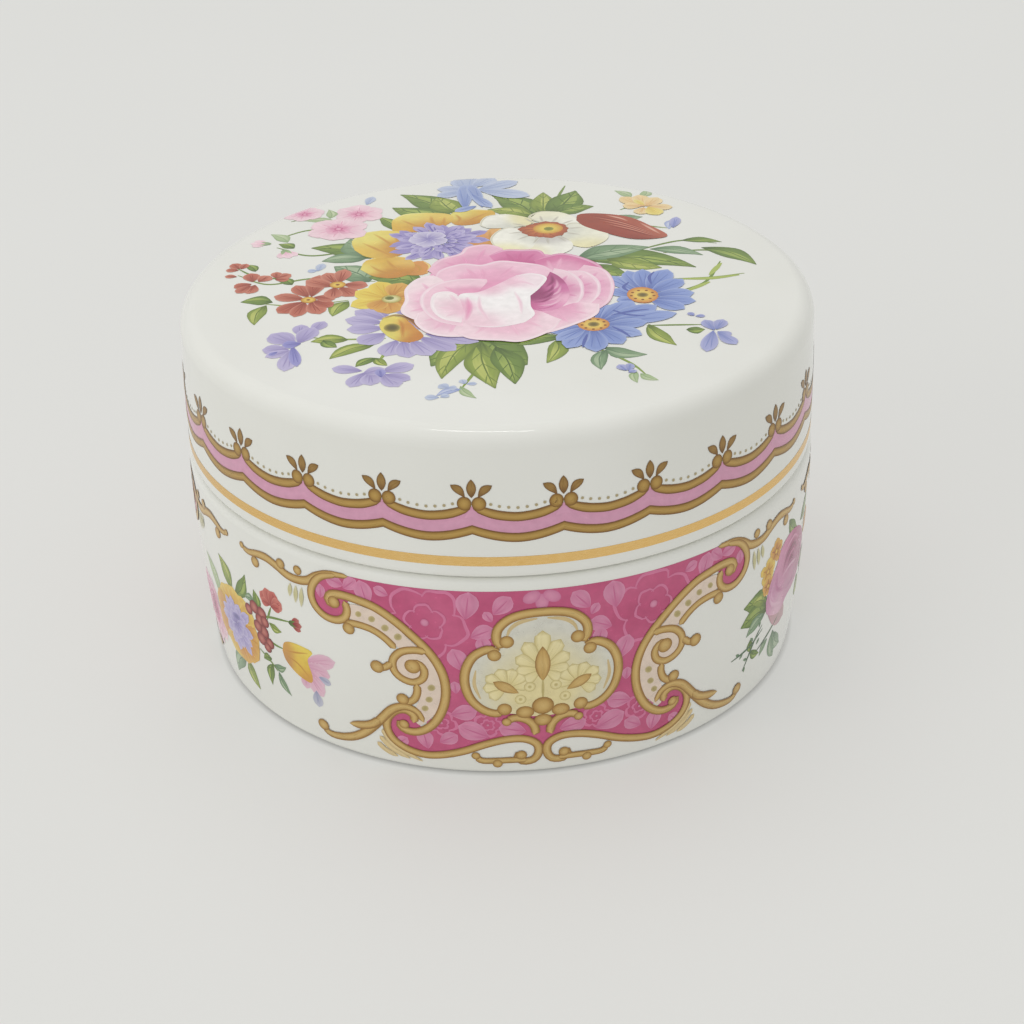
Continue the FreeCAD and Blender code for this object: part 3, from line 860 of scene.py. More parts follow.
def rose_spray(name, middle):
    """Deep pink rose with amber flowers, leaves and a thin sprig."""
    p = Print(on_wall, FINE_LAYER, seed=61, shift=middle)
    for root, tip, width, tones in (
        ((-10, 17.6), (-17.6, 20.8), 4.6, GREEN), ((-10, 16.8), (-18.0, 17.2), 4.4, GREEN),
        ((-10.6, 16.4), (-16.0, 14.4), 2.8, BLUE_GREEN), ((-11, 19), (-15.2, 20.6), 2.6, OLIVE),
        ((-6, 10.6), (-3.4, 3.8), 3.2, BLUE_GREEN), ((-8, 10), (-10.4, 7.6), 1.8, BLUE_GREEN),
        ((-5, 9.6), (-0.6, 5.0), 2.8, BLUE_GREEN), ((-14.6, 13.2), (-13.8, 10.4), 1.7, GREEN),
        ((-14, 10.6), (-10.8, 8.6), 1.8, GREEN), ((-3.2, 30.8), (1.4, 27.2), 2.8, GREEN),
        ((4, 27), (8.5, 30.6), 3.0, GREEN), ((7, 18), (14.6, 16.8), 4.0, GREEN),
        ((6, 15), (11, 9.6), 3.4, OLIVE),
    ):
        p.leaf(root, tip, width, tones, veins=2)
    for path in ([(-10.6, 13.4), (-14.6, 11.8), (-19.6, 11.2)], [(-11, 14.4), (-13, 12.4), (-15.8, 7.4)],
                 [(-4, 13), (-8, 11), (-12, 9.4)]):
        p.line(path, 0.45, BLUE_GREEN[0])
    for u, v, angle in ((-17.4, 11.4, 2.6), (-16.4, 11.5, 4.0), (-13.6, 12.6, 2.4), (-12.4, 13.2, 4.2),
                        (-14.8, 9.4, 2.8), (-15.4, 8.2, 4.8), (-11.4, 12.0, 4.0), (-12.0, 14.4, 1.4)):
        p.petal((u, v), turned_to(u, v, angle, 1.3), 0.6, (BLUE_GREEN[0], BLUE_GREEN[1]), widest=0.5,
                blunt=0.9)
    for u, v, radius, tones in ((-8.2, 27.4, 2.4, AMBER), (-10.8, 24.8, 2.4, YELLOW),
                                (-10.4, 21.8, 2.0, AMBER), (9.6, 24.6, 2.4, AMBER)):
        blossom(p, u, v, radius, tones)
    p.petal((-9.8, 16.6), (-1.4, 11.2), 4.4, ((196, 148, 160), (208, 166, 172), (196, 158, 162)), blunt=0.6)
    rose = p.wash(
        [(-10.6, 18.6), (-9.4, 22), (-7.6, 24.4), (-6.0, 27), (-2, 28), (2, 27), (5.6, 24.8), (7.8, 21),
         (7, 17), (3, 15.2), (-1, 14.8), (-4, 13.4), (-7.4, 14.4), (-9.8, 16)],
        [(-8, 19, 3, (210, 144, 180)), (-6, 24, 3, (218, 150, 182)), (-1.4, 23.4, 2.4, (146, 44, 92)),
         (2.4, 25.4, 2.6, (186, 90, 134)), (-6, 15.4, 2.4, (234, 190, 208)), (0, 18, 4, (204, 140, 172)),
         (5, 20, 3, (176, 90, 128)), (-3.4, 26.8, 1.8, (218, 134, 172)), (-4, 21, 1.8, (214, 144, 178))])
    for path, width, colour in (
        ([(-4.6, 21.4), (-3.0, 24.0), (0.4, 24.6), (2.6, 22.6)], 1.1, (132, 34, 80)),
        ([(-3.4, 21.6), (-1.8, 23.2), (0.4, 23.4), (1.6, 22)], 0.8, (206, 120, 162)),
        ([(-5.6, 22.4), (-4.0, 25.2), (0, 26.2), (3.4, 24.2)], 0.9, (226, 152, 186)),
        ([(-2.0, 22), (-0.6, 22.4), (0.8, 21.4)], 0.8, (128, 32, 76)),
        ([(-4.8, 20.6), (-1, 21), (3, 20.2)], 0.9, (232, 182, 206)),
        ([(-9.6, 20), (-8, 17), (-4, 15.2)], 1.0, (236, 192, 212)),
        ([(-7, 22.6), (-6.6, 19.4), (-3.4, 17.4)], 1.2, (186, 108, 150)),
        ([(-2, 17.2), (2, 17), (6, 18.8)], 1.2, (180, 104, 146)),
        ([(-8.6, 21.6), (-8.6, 18.8), (-6.4, 16.6)], 0.8, (226, 172, 200)),
        ([(3, 24), (5.4, 22), (6.4, 19)], 0.8, (214, 146, 178)),
    ):
        p.fold(path, width, colour, rose)
    for u, v, a in ((11, 13, 0.2), (13.4, 11.2, -0.4)):
        bud(p, u, v, a, 2.8, ROSE)
    p.build(name, enamel, "jar_bowl")


# ---------------------------------------------------------------- bouquet on the lid
def bouquet_leaves():
    p = Print(on_lid_top, FINE_LAYER, seed=71)
    for path in (
        [(-20, 5), (-30, 8), (-38, 7), (-43, 12)], [(-34, 8), (-40, 11), (-43, 15)],
        [(-25, -2), (-33, -3), (-39, -1)], [(-22, 24), (-29, 30), (-36, 27)],
        [(-20, 20), (-30, 18), (-36, 23)], [(-24, 32), (-29, 36), (-33, 35)],
        [(26, 30), (32, 34)], [(28, -2.2), (36, -2.6), (42, -1.6)], [(30, -7.4), (35, -4), (39, 4)],
        [(24, 10), (34, 14), (40, 12)], [(30, 9), (38, 9), (43, 4)], [(-20, -18), (-28, -17), (-33, -15)],
        [(-20, -22), (-22, -27)], [(12, -26), (17, -33), (19, -38)], [(22, -20), (31, -21)],
        [(-6, -30), (-10, -38)], [(15, 36), (18, 44)], [(24, 24), (33, 20)],
    ):
        p.line(path, 0.55, mix(GREEN[1], GREEN[2], p.random.random() * 0.6))
    for path in ([(31, -2.6), (36, -3.0), (41, -2.2)], [(31, -7.6), (35.5, -4.4)], [(36, -1.6), (39, 3.2)]):
        p.line(path, 1.0, GREEN[2])
    for root, tip, width, tones, bend in (
        ((-5, 33), (-12.5, 44.6), 6.0, GREEN, 0.1), ((-4, 32), (-14.5, 38), 6.5, GREEN, -0.1),
        ((-3, 33), (-6, 42), 6.0, OLIVE, -0.05), ((10, 29), (4, 41), 6.5, GREEN, 0.12),
        ((10, 29), (2.4, 34), 5.0, OLIVE, 0.1), ((12, 30), (13.5, 41), 4.8, OLIVE, 0.0),
        ((13, 30), (19.5, 41), 6.4, GREEN, 0.05), ((14, 30), (21.5, 32.5), 5.0, GREEN, -0.1),
        ((-20, 15), (-30, 21.6), 6.2, GREEN, 0.14), ((-20, 16), (-23, 24.4), 5.4, BLUE_GREEN, -0.1),
        ((-21, 15), (-28.5, 15.2), 4.4, BLUE_GREEN, 0.1), ((-15, 27), (-17.4, 34), 3.0, GREEN, 0.1),
        ((-21, 5), (-26.5, 12.6), 6.6, BLUE_GREEN, 0.1), ((-12, 2), (-21, 7), 6.5, GREEN, 0.1),
        ((16, 8), (34.4, 2.0), 6.8, GREEN, -0.14), ((15, 9), (28, 12), 6.0, BLUE_GREEN, -0.05),
        ((17, 6), (22.5, 0.6), 5.0, GREEN, 0.1), ((20, 8), (28.6, 2.6), 5.0, OLIVE, 0.05),
        ((28, 11), (36.6, 7.0), 3.2, BLUE_GREEN, -0.1), ((37, 10.4), (44.8, 1.8), 4.2, GREEN, -0.12),
        ((34, 14), (41, 12.4), 2.4, GREEN, -0.1), ((24, 27), (29.4, 26.0), 3.0, BLUE_GREEN, 0.1),
        ((-4, -19), (-13.8, -29.4), 7.4, GREEN, 0.06), ((-5, -20), (-12.6, -34), 5.0, OLIVE, 0.1),
        ((-4, -20), (1.0, -31.4), 8.2, GREEN, 0.06), ((-5, -22), (-4.8, -38.6), 5.6, OLIVE, 0.05),
        ((-3, -24), (-1.6, -37.6), 5.0, GREEN, -0.05), ((8, -22), (0.4, -24.2), 3.6, GREEN, 0.12),
        ((7, -23), (4.2, -31.2), 3.4, OLIVE, -0.1), ((-22, -20), (-29.4, -24), 3.4, OLIVE, 0.12),
        ((-26, -17.5), (-32, -17.2), 3.6, OLIVE, 0.1), ((-30, -17), (-28, -20), 2.4, GREEN, 0.1),
        ((-22, -25), (-25.5, -27.5), 2.2, GREEN, 0.1), ((-22, -25), (-20.6, -28), 2.0, OLIVE, 0.1),
        ((14, -27), (20.2, -30.6), 3.6, BLUE_GREEN, 0.15), ((14, -28), (12.2, -34.8), 2.8, BLUE_GREEN, 0.1),
        ((22.4, -19.6), (25.4, -28), 3.2, OLIVE, 0.08), ((28, -22.5), (31, -22.8), 2.6, GREEN, 0.1),
        ((-25, -2.4), (-28, -8), 3.2, OLIVE, 0.1), ((-37.5, -0.6), (-42.8, 0.6), 3.6, GREEN, 0.14),
        ((-38.6, -1.6), (-40.8, -9), 3.0, OLIVE, 0.1), ((-34, 6), (-36.6, 9.4), 2.4, GREEN, 0.1),
        ((-40, 13), (-41.4, 16.4), 2.0, GREEN, 0.1), ((-34, 25), (-36.8, 29.6), 2.6, PALE_GREEN, 0.1),
        ((-33, 22), (-35.6, 24.6), 2.4, GREEN, 0.1), ((-25, 33), (-31, 35), 2.4, PALE_GREEN, 0.1),
        ((-26, 35), (-26, 39.6), 2.0, PALE_GREEN, 0.1), ((31, 36), (32.6, 40), 2.2, PALE_GREEN, 0.1),
        ((29, 36), (26.6, 40), 2.2, PALE_GREEN, 0.1), ((35, 24), (33, 19.5), 2.0, PALE_BLUE, 0.1),
        ((18, -37), (20.4, -39.6), 1.8, PALE_GREEN, 0.1), ((17.4, -36), (17, -40), 1.6, PALE_GREEN, 0.1),
        ((-10, -37), (-8, -41.4), 1.6, PALE_GREEN, 0.1), ((-10, -38), (-14, -39.6), 1.8, PALE_BLUE, 0.1),
    ):
        p.leaf(root, tip, width, tones, bend=bend, veins=3 if width > 4.5 else 0)
    p.build("lid_leaves", enamel, "jar_lid")


def yellow_flower(p):
    """Big amber and yellow petals behind a lilac aster."""
    sun, gold, deep = (238, 226, 124), (226, 182, 74), (204, 140, 58)
    for outline, blobs, folds in (
        ([(-1, 22), (3.4, 25.5), (3.2, 19), (0.4, 14.6), (-3.4, 13.6), (-4, 18)],
         [(0.5, 20, 4, (222, 158, 96)), (2.6, 24, 2, (238, 190, 120)), (-2, 15, 3, deep)],
         ([(1.6, 24), (1, 19), (-1, 15)], [(2.6, 22.6), (2, 18.6), (0.6, 16)])),
        ([(-14, 12), (-11.4, 12.4), (-10.4, 10), (-11.2, 6.8), (-13.6, 6.4), (-15.4, 8)],
         [(-12, 9, 3, (224, 156, 84)), (-14, 8, 2, deep)], ([(-13, 11.6), (-12, 9), (-13, 7.4)],)),
        ([(-22.2, 10.4), (-21, 14), (-17.6, 15.4), (-14, 14.2), (-12.8, 11), (-13.8, 7.4),
          (-16.6, 5.8), (-20, 7)],
         [(-18, 13, 3, gold), (-20.6, 11, 2, sun), (-16, 8, 3, deep), (-14.6, 12.4, 2, (236, 200, 110))],
         ([(-20.4, 12), (-19, 9.4), (-16.4, 7.2)], [(-17.4, 14), (-16.6, 11), (-15, 8.4)])),
        ([(-5, 30.4), (-4, 33.4), (-0.6, 34.2), (3.2, 33.2), (3.0, 30), (-0.6, 27.4), (-4, 27.6)],
         [(-2.6, 32.4, 2.6, sun), (1.8, 32, 2.4, gold), (-1, 28.6, 2.6, deep)],
         ([(2.4, 32.4), (0, 30.6), (-2.4, 28.4)], [(-3.6, 32.6), (-3, 30.4), (-3.6, 28.6)])),
        ([(-15.4, 27), (-15, 31.6), (-12.6, 34), (-8.4, 34.2), (-4.6, 32.8), (-4.4, 29.6), (-8, 26),
          (-13, 25.6)],
         [(-11.6, 32.4, 3, sun), (-7, 32, 2.6, (236, 206, 104)), (-14, 29, 2.4, gold), (-9, 28, 3, deep)],
         ([(-13.4, 31.6), (-11.6, 29), (-9.6, 27)], [(-8, 32.6), (-8, 30), (-7.4, 27.6)],
          [(-5.6, 31.6), (-6, 29.6), (-6.4, 27.4)])),
        ([(-22.6, 19), (-22.8, 23), (-20.8, 26.2), (-17.2, 27.2), (-13.8, 25.8), (-12.4, 21.6),
          (-13.6, 17), (-16.8, 14.6), (-20.6, 15.6)],
         [(-19.4, 23.6, 3, sun), (-16, 25.4, 2, (238, 214, 110)), (-20.4, 18, 3, (232, 196, 88)),
          (-15, 19, 3, deep)],
         ([(-21, 22), (-18.6, 18.6), (-16.6, 15.6)], [(-18.8, 26), (-16.8, 22), (-15, 17.4)],
          [(-15.4, 25.4), (-14.8, 22.4), (-14, 19)])),
    ):
        under = p.wash(outline, blobs, spacing=1.3)
        for path in folds:
            p.fold(path, 0.9, (206, 150, 66), under)
        p.fold(outline[1:4], 0.5, (248, 238, 160), under)


def aster(p, u, v):
    """Shaggy lilac flower: uneven rings of narrow petals."""
    for radius, count, wide, tones in ((9.0, 15, 2.3, (LILAC[0], LILAC[1], LILAC[1])),
                                       (7.4, 14, 2.1, LILAC),
                                       (5.6, 12, 2.0, LILAC),
                                       (3.8, 8, 1.9, (BLUE[0], LILAC[1], LILAC[2]))):
        for k in range(count):
            angle = radius + k * math.tau / count + p.random.uniform(-0.16, 0.16)
            far = radius * p.random.uniform(0.82, 1.14)
            p.petal(turned_to(u, v, angle, far * 0.2), turned_to(u, v, angle, far), wide, tones,
                    rim=mix(LILAC[1], (212, 206, 232), p.random.random()), widest=0.72, blunt=0.75,
                    bend=p.random.uniform(-0.14, 0.14))
            p.line([turned_to(u, v, angle, far * 0.4), turned_to(u, v, angle, far * 0.85)], 0.3,
                   (122, 112, 178))
    for angle in (5.6, 4.4, 3.2, 2.0, 0.8):
        p.petal((u - 1.8, v + 1.2), turned_to(u - 1.8, v + 1.2, angle, 3.6), 3.6,
                ((138, 128, 188), (190, 182, 216), (214, 208, 230)), rim=(220, 214, 234), blunt=0.45)


def bouquet_left():
    p = Print(on_lid_top, FINE_LAYER, seed=72, base=LEFT_BASE)
    yellow_flower(p)
    aster(p, -7.6, 20.6)
    pale_pink = ((232, 170, 194), (244, 204, 216), (248, 222, 228))
    for u, v, radius in ((-30.4, 38.2, 3.6), (-20.8, 36.0, 4.4), (-24.8, 29.4, 5.4)):
        blossom(p, u, v, radius, pale_pink, count=6, centre=0.0, wide=0.9)
        blossom(p, u, v, radius * 0.46, ((214, 124, 160), (230, 158, 186), (242, 196, 212)), centre=0.3,
                middle=ROSE)
    for u, v, angle, size in ((-37.6, 25.2, 2.9, 3.0), (-34.6, 21.0, -1.4, 3.4)):
        bud(p, u, v, angle, size, pale_pink, PALE_GREEN)
    clay = ((142, 58, 42), (186, 98, 76), (220, 152, 130))
    p.dabs(clay, (
        (-32.2, -0.4, -37.2, 1.8, 3.4), (-32.6, -1.4, -36.8, -5.2, 3.8), (-32.2, -1.6, -34.2, -7.2, 3.0),
        (-31.2, -1.6, -30.0, -6.8, 3.4), (-30.8, -1.2, -27.8, -4.2, 3.2), (-31.6, 0.4, -33.4, 5.6, 3.2),
        (-31.0, 0.4, -29.2, 9.2, 3.6), (-30.6, 0.2, -27.2, -1.2, 3.0),
        (-27.2, 4.0, -31.6, 7.4, 3.6), (-26.8, 5.4, -28.0, 10.0, 3.2), (-26.0, 5.6, -24.8, 11.0, 3.0),
        (-25.4, 4.6, -21.4, 3.4, 3.4), (-26.0, 3.6, -24.0, -0.6, 3.6), (-27.0, 3.6, -27.6, -1.0, 3.2),
        (-40.6, 8.6, -40.8, 12.4, 3.0), (-39.6, 8.4, -37.6, 10.6, 2.8), (-40.8, 7.8, -43.8, 6.8, 2.8),
        (-40.2, 7.2, -41.6, 3.8, 2.8), (-41.0, 7.0, -43.4, 4.4, 2.4), (-36.6, 9.2, -34.0, 10.6, 2.4),
        (-36.6, 9.4, -36.4, 12.0, 2.0), (-36.8, 8.8, -34.4, 8.4, 2.0), (-42.6, 14.8, -43.8, 17.4, 2.2),
        (-42.4, 14.6, -41.4, 16.8, 1.8), (-43.2, 11.4, -45.2, 12.2, 1.6), (-42.8, 14.2, -45.0, 14.8, 1.8),
    ))
    for u, v, radius in ((-31.6, -0.8, 1.3), (-26.4, 4.6, 1.4)):
        p.disc(u, v, radius, YELLOW[::-1], around=12)
        p.disc(u, v, radius * 0.3, (EYE[0], EYE[1]), around=8)
    hazy = ((142, 130, 184), (182, 172, 212), (204, 196, 226))
    p.dabs(hazy, (
        (-19, -10, -21.8, -5.0, 3.2), (-19.4, -10.6, -24.2, -6.4, 3.6), (-20, -12, -26.0, -9.6, 4.0),
        (-20, -14, -26.0, -13.6, 4.0), (-20, -16, -24.4, -19.4, 4.4), (-18.4, -19, -20.6, -24.6, 4.0),
        (-17.4, -19.4, -17.0, -25.8, 3.8), (-16, -19.4, -13.4, -25.6, 4.0), (-14.6, -18.4, -9.4, -24.4, 4.0),
        (-13.6, -17.4, -5.4, -21.8, 3.8), (-15.8, -12, -13.8, -15.4, 2.6), (-16.2, -9.8, -16.6, -5.8, 2.8),
    ))
    under = p.wash([(-18.2, -9.6), (-16.4, -11), (-15.0, -14.6), (-14.0, -18.4), (-16.4, -20.2),
                    (-19.0, -18.4), (-20.6, -14.4), (-20.2, -11)],
                   [(-19.4, -12, 2, (236, 218, 108)), (-18.8, -17, 2, (230, 218, 110)),
                    (-16.2, -14, 2, (216, 150, 66)), (-15.6, -18.8, 2, (204, 132, 54))], spacing=0.8)
    p.fold([(-17.4, -11), (-17.0, -14), (-17.4, -18.6)], 1.0, (198, 132, 56), under)
    p.disc(-18.7, -14.2, 1.4, ((92, 84, 40), (132, 116, 52), (198, 182, 86)), flat=1.2, around=14)
    p.fold([(-20.0, -10.4), (-17.6, -9.4), (-15.6, -11.4), (-14.2, -15.2)], 0.9, (120, 78, 60), under)
    p.dabs(((214, 166, 62), (232, 200, 82), (242, 226, 110)), (
        (-18.6, -2.6, -24.8, -4.6, 4.6), (-18.6, -2.0, -23.6, 1.4, 5.0), (-18.6, -1.8, -19.6, 4.8, 4.4),
    ))
    p.dabs(((190, 124, 54), (218, 160, 76), (232, 190, 100)), (
        (-17.8, -1.8, -15.6, 3.6, 4.4), (-17.4, -2.4, -14.2, -1.6, 4.0), (-17.6, -3.0, -15.6, -5.8, 3.4),
        (-18.4, -3.0, -19.0, -8.6, 4.8), (-18.8, -2.8, -21.6, -6.4, 3.6),
    ))
    p.disc(-17.9, -2.8, 1.7, ((236, 232, 196), (212, 206, 130), (176, 150, 70)), around=14)
    p.disc(-18.2, -2.4, 0.8, ((96, 104, 46), (150, 152, 80)), around=10)
    p.dabs(hazy, (
        (-33.6, -14.6, -33.2, -10.4, 2.8), (-31.6, -13.4, -29.4, -9.8, 2.6),
        (-34.0, -17.4, -31.2, -11.8, 3.6), (-34.6, -17.6, -38.2, -13.0, 4.6),
        (-35.6, -19.4, -39.8, -18.6, 3.6), (-35.0, -19.8, -39.4, -21.4, 2.6),
        (-35.2, -19.6, -36.6, -27.0, 3.2), (-24.6, -29.2, -29.2, -27.4, 3.0),
        (-24.2, -29.8, -26.8, -34.4, 3.2), (-23.4, -30, -23.6, -34.4, 3.4),
        (-21.6, -30.8, -19.4, -35.6, 3.4), (-21.2, -31, -17.4, -33.6, 3.0), (-21.6, -30, -16.4, -28.4, 3.6),
        (-24.6, -30.4, -21.0, -29.0, 3.0),
    ))
    p.dabs(((112, 110, 176), (146, 144, 204), (178, 174, 220)), (
        (-35.0, -18.2, -34.6, -25.8, 2.0), (-33.6, -17.6, -36.6, -17.6, 2.8),
        (-21.8, -32.0, -21.8, -29.0, 1.8), (-37.4, -19.8, -38.8, -21.0, 1.2),
    ))
    misty = ((158, 172, 208), (188, 198, 222), (208, 216, 230))
    p.dabs(misty, (
        (-11.8, -37.4, -13.2, -36.0, 2.0), (-12.0, -37.2, -10.6, -37.6, 1.6), (-9.2, -36.4, -9.6, -34.8, 1.4),
        (-9.0, -36.4, -7.4, -36.6, 1.2), (-13.6, -40.2, -15.8, -39.8, 1.8), (-13.4, -40.2, -12.0, -39.6, 1.4),
        (-29.4, 11.0, -28.4, 14.2, 1.8), (-29.4, 11.4, -31.2, 11.2, 1.6), (-19.0, 40.6, -17.6, 44.6, 2.0),
    ))
    p.build("lid_flowers_left", enamel, "jar_lid")


def white_flower(p):
    """Cream petals round a russet cup with a yellow eye."""
    cream, shade, warm = (250, 248, 236), (218, 218, 206), (240, 232, 184)
    for outline, blobs in (
        ([(0.4, 27), (2.0, 30.4), (5.4, 31), (9.2, 28.4), (9.0, 25.4), (5, 24.6), (1.4, 25)],
         [(3, 28.6, 2.6, cream), (7.6, 28.2, 2, warm), (4, 25.6, 2, shade)]),
        ([(9.4, 28.4), (11.6, 31), (15, 30.4), (17.6, 27), (17.2, 23.6), (13, 24)],
         [(13.4, 29, 3, (244, 240, 212)), (16, 26, 2.4, cream), (12.4, 25.8, 2, shade)]),
        ([(16.0, 24.6), (19.6, 23.2), (22.0, 19.4), (21.0, 15.8), (17.4, 13.4), (14.2, 16), (14, 20)],
         [(19, 19.4, 3.4, (244, 242, 222)), (15.6, 20.4, 2.2, shade), (18, 15.4, 2.4, warm)]),
        ([(8.2, 19.6), (12, 19.8), (15, 16.6), (14.6, 13), (11.4, 10.8), (8.2, 11.6), (7.4, 15)],
         [(11, 13.4, 3, cream), (11, 18.4, 2.2, (206, 202, 196)), (8.6, 13, 2, warm)]),
        ([(1.6, 20.4), (4.6, 24.4), (8.6, 23), (9, 18), (7.6, 14.4), (4.4, 13.4), (1.8, 15.2)],
         [(4.4, 19.6, 3, cream), (3.4, 15.4, 2, (244, 238, 190)), (8, 20, 2, shade)]),
    ):
        under = p.wash(outline, blobs, spacing=1.1)
        p.fold(outline[-1:] + outline[:3], 0.5, (206, 202, 176), under)
        middle = np.mean(outline, axis=0)
        for turn in (-0.5, 0.0, 0.5):
            way = math.atan2(middle[1] - 22.6, middle[0] - 11.4) + turn
            p.fold([turned_to(11.4, 22.6, way, 3.4), turned_to(11.4, 22.6, way, 6.6)], 0.7,
                   (196, 190, 176), under)
    for k in range(13):
        far = 4.6 * p.random.uniform(0.9, 1.1)
        u, v = turned_to(0, 0, k * math.tau / 13, far)
        p.petal((11.4, 22.6), (11.4 + u, 22.6 + v * 0.82), 2.6, (AMBER[1], (206, 122, 66), (166, 82, 52)),
                rim=(164, 86, 58), widest=0.7, blunt=0.5)
    p.disc(11.9, 23.0, 2.7, ((236, 214, 104), (226, 190, 84), (206, 140, 62)), flat=0.9, around=18)
    p.disc(12.0, 22.8, 0.9, ((128, 132, 56), (168, 164, 74)), around=10)


def russet_tulip(p):
    """Closed dark red flower with pale streaks."""
    under = p.wash([(17.4, 26), (18.4, 28.8), (22.6, 28.4), (27, 26), (30, 21.4), (32.2, 16.6),
                    (29.6, 15.4), (25.6, 16), (21.6, 19.4), (18.4, 23)],
                   [(20, 26, 3, (160, 72, 50)), (26, 24, 3, (176, 88, 64)), (24, 19, 3, (156, 66, 48)),
                    (29, 19, 3, (186, 102, 78)), (27, 16.4, 2, (140, 54, 40))], spacing=1.2)
    for k in range(7):
        bend = k * 0.9
        path = [(20.2 + bend * 0.5, 28 - bend), (24.6 + bend * 0.3, 24.6 - bend * 0.9),
                (28.6 + bend * 0.1, 19.6 - bend * 0.5), (30.4, 16.4)]
        p.fold(path, 0.55, (226, 156, 132) if k % 2 else (132, 48, 36), under)
    for path in ([(23, 27.6), (25.4, 25.6), (26.4, 24)], [(28.4, 23), (30, 19.6), (31, 17.2)]):
        p.fold(path, 0.8, (238, 190, 172), under)


def bouquet_right():
    p = Print(on_lid_top, FINE_LAYER, seed=73, base=RIGHT_BASE)
    faint = ((150, 166, 208), (182, 194, 222), (206, 214, 232))
    p.dabs(faint, (
        (0, 44, 0.2, 52.0, 6.0), (1.6, 44, 9.6, 47.8, 4.2), (0, 45, -5.6, 46.0, 3.6),
        (-1, 44, -6.0, 42.0, 3.4), (2, 44, 10.8, 39.4, 4.6), (1, 46, 5.6, 50.4, 4.0),
    ))
    p.dabs(((112, 132, 192), (152, 168, 214), (190, 202, 230)), (
        (-1.6, 34.4, -0.4, 47.6, 3.0), (0.6, 36, -3.6, 33.8, 2.2), (1.6, 35.2, 0.6, 47.4, 2.6),
        (0.4, 42, 3.2, 34.6, 2.4),
    ))
    white_flower(p)
    russet_tulip(p)
    p.dabs(((226, 178, 118), (240, 208, 150), (246, 226, 180)), (
        (30.4, 31, 27.2, 36.4, 3.6), (30.6, 31, 30.6, 37.0, 3.4), (31, 31, 33.8, 35.2, 3.4),
        (31.2, 30.6, 35.6, 30.0, 3.0), (30, 31, 26.8, 32.0, 3.2), (30.4, 30.4, 29.0, 27.2, 2.8),
    ))
    p.dabs(((224, 190, 92), (238, 218, 120), (244, 230, 160)), ((31.2, 30.6, 32.4, 26.4, 3.4),
                                                               (30.6, 31.4, 29.4, 34.6, 1.6)))
    sky = ((92, 110, 176), (134, 154, 212), (172, 186, 226))
    p.dabs(sky, (
        (23, -7, 19.2, 0.6, 3.4), (23.4, -6, 22.6, 2.2, 3.6), (24, -6, 25.2, 2.4, 3.6),
        (24.6, -6.4, 29.4, 1.6, 4.4), (25, -7.4, 31.2, -2.8, 4.0), (25.2, -8.6, 32.0, -8.6, 4.4),
        (24.8, -10, 31.6, -12.0, 4.0), (24.4, -10.4, 29.2, -14.8, 3.8), (22, -8.6, 18.8, -5.0, 3.6),
        (22, -9.6, 18.8, -9.6, 2.8), (14.6, -17, 17.4, -11.2, 4.0), (15, -16.8, 21.4, -10.4, 4.4),
        (15.2, -17.4, 25.0, -12.6, 4.4), (15.4, -18, 27.6, -16.2, 4.4), (15, -19, 22.4, -18.8, 3.8),
        (14.6, -19.4, 20.6, -23.6, 3.8), (14, -19.8, 17.0, -26.4, 4.2), (13.4, -20, 12.4, -28.6, 4.2),
        (12.6, -19.6, 8.0, -26.6, 4.0), (12.4, -19, 6.2, -20.2, 3.6), (12.4, -19.2, 6.8, -23.6, 3.2),
    ))
    for path in ([(22, -2.6), (20.8, -4.6), (21.6, -6.6)], [(25.6, -4), (25.8, -1), (27, 1)],
                 [(17, -15.4), (20, -14.4), (23.4, -14)], [(16.4, -19.6), (17.8, -22), (18.6, -24)],
                 [(17.6, -13.4), (19.4, -15.4), (22.4, -16.6)], [(12, -22), (11, -25), (10.6, -26.6)]):
        p.line(path, 0.6, (92, 106, 176))
    for u, v, flat in ((23.4, -8.2, 1.25), (13.6, -18.4, 1.0)):
        p.disc(u, v, 2.6, ((240, 222, 112), (228, 176, 84), (206, 132, 70)), flat=flat, around=18)
        p.disc(u, v, 1.0, ((104, 92, 48), (150, 128, 62), (206, 176, 84)), around=12)
        for k in range(9):
            spot = turned_to(u, v, k * 0.7 + u, 1.9)
            p.disc(*spot, 0.3, (EYE[0], (176, 110, 50)), around=6)
    p.dabs(((120, 132, 192), (160, 166, 212), (192, 192, 226)), (
        (32.4, -23.4, 31.6, -19.4, 2.4), (32.8, -23.2, 34.6, -19.6, 2.4), (32.2, -23.6, 29.6, -31.0, 2.8),
        (32.8, -24, 34.4, -26.0, 2.6), (32.8, -24.6, 34.8, -29.0, 2.6), (30.2, -17.6, 29.6, -16.2, 1.2),
        (30.4, -17.8, 32.0, -17.8, 1.2), (16.0, -35.8, 15.2, -33.6, 1.8), (16.4, -36, 17.0, -33.4, 1.6),
        (16.2, -36.4, 17.6, -36.0, 1.2), (33.8, 20.0, 35.4, 25.0, 2.0),
    ))
    p.build("lid_flowers_right", enamel, "jar_lid")


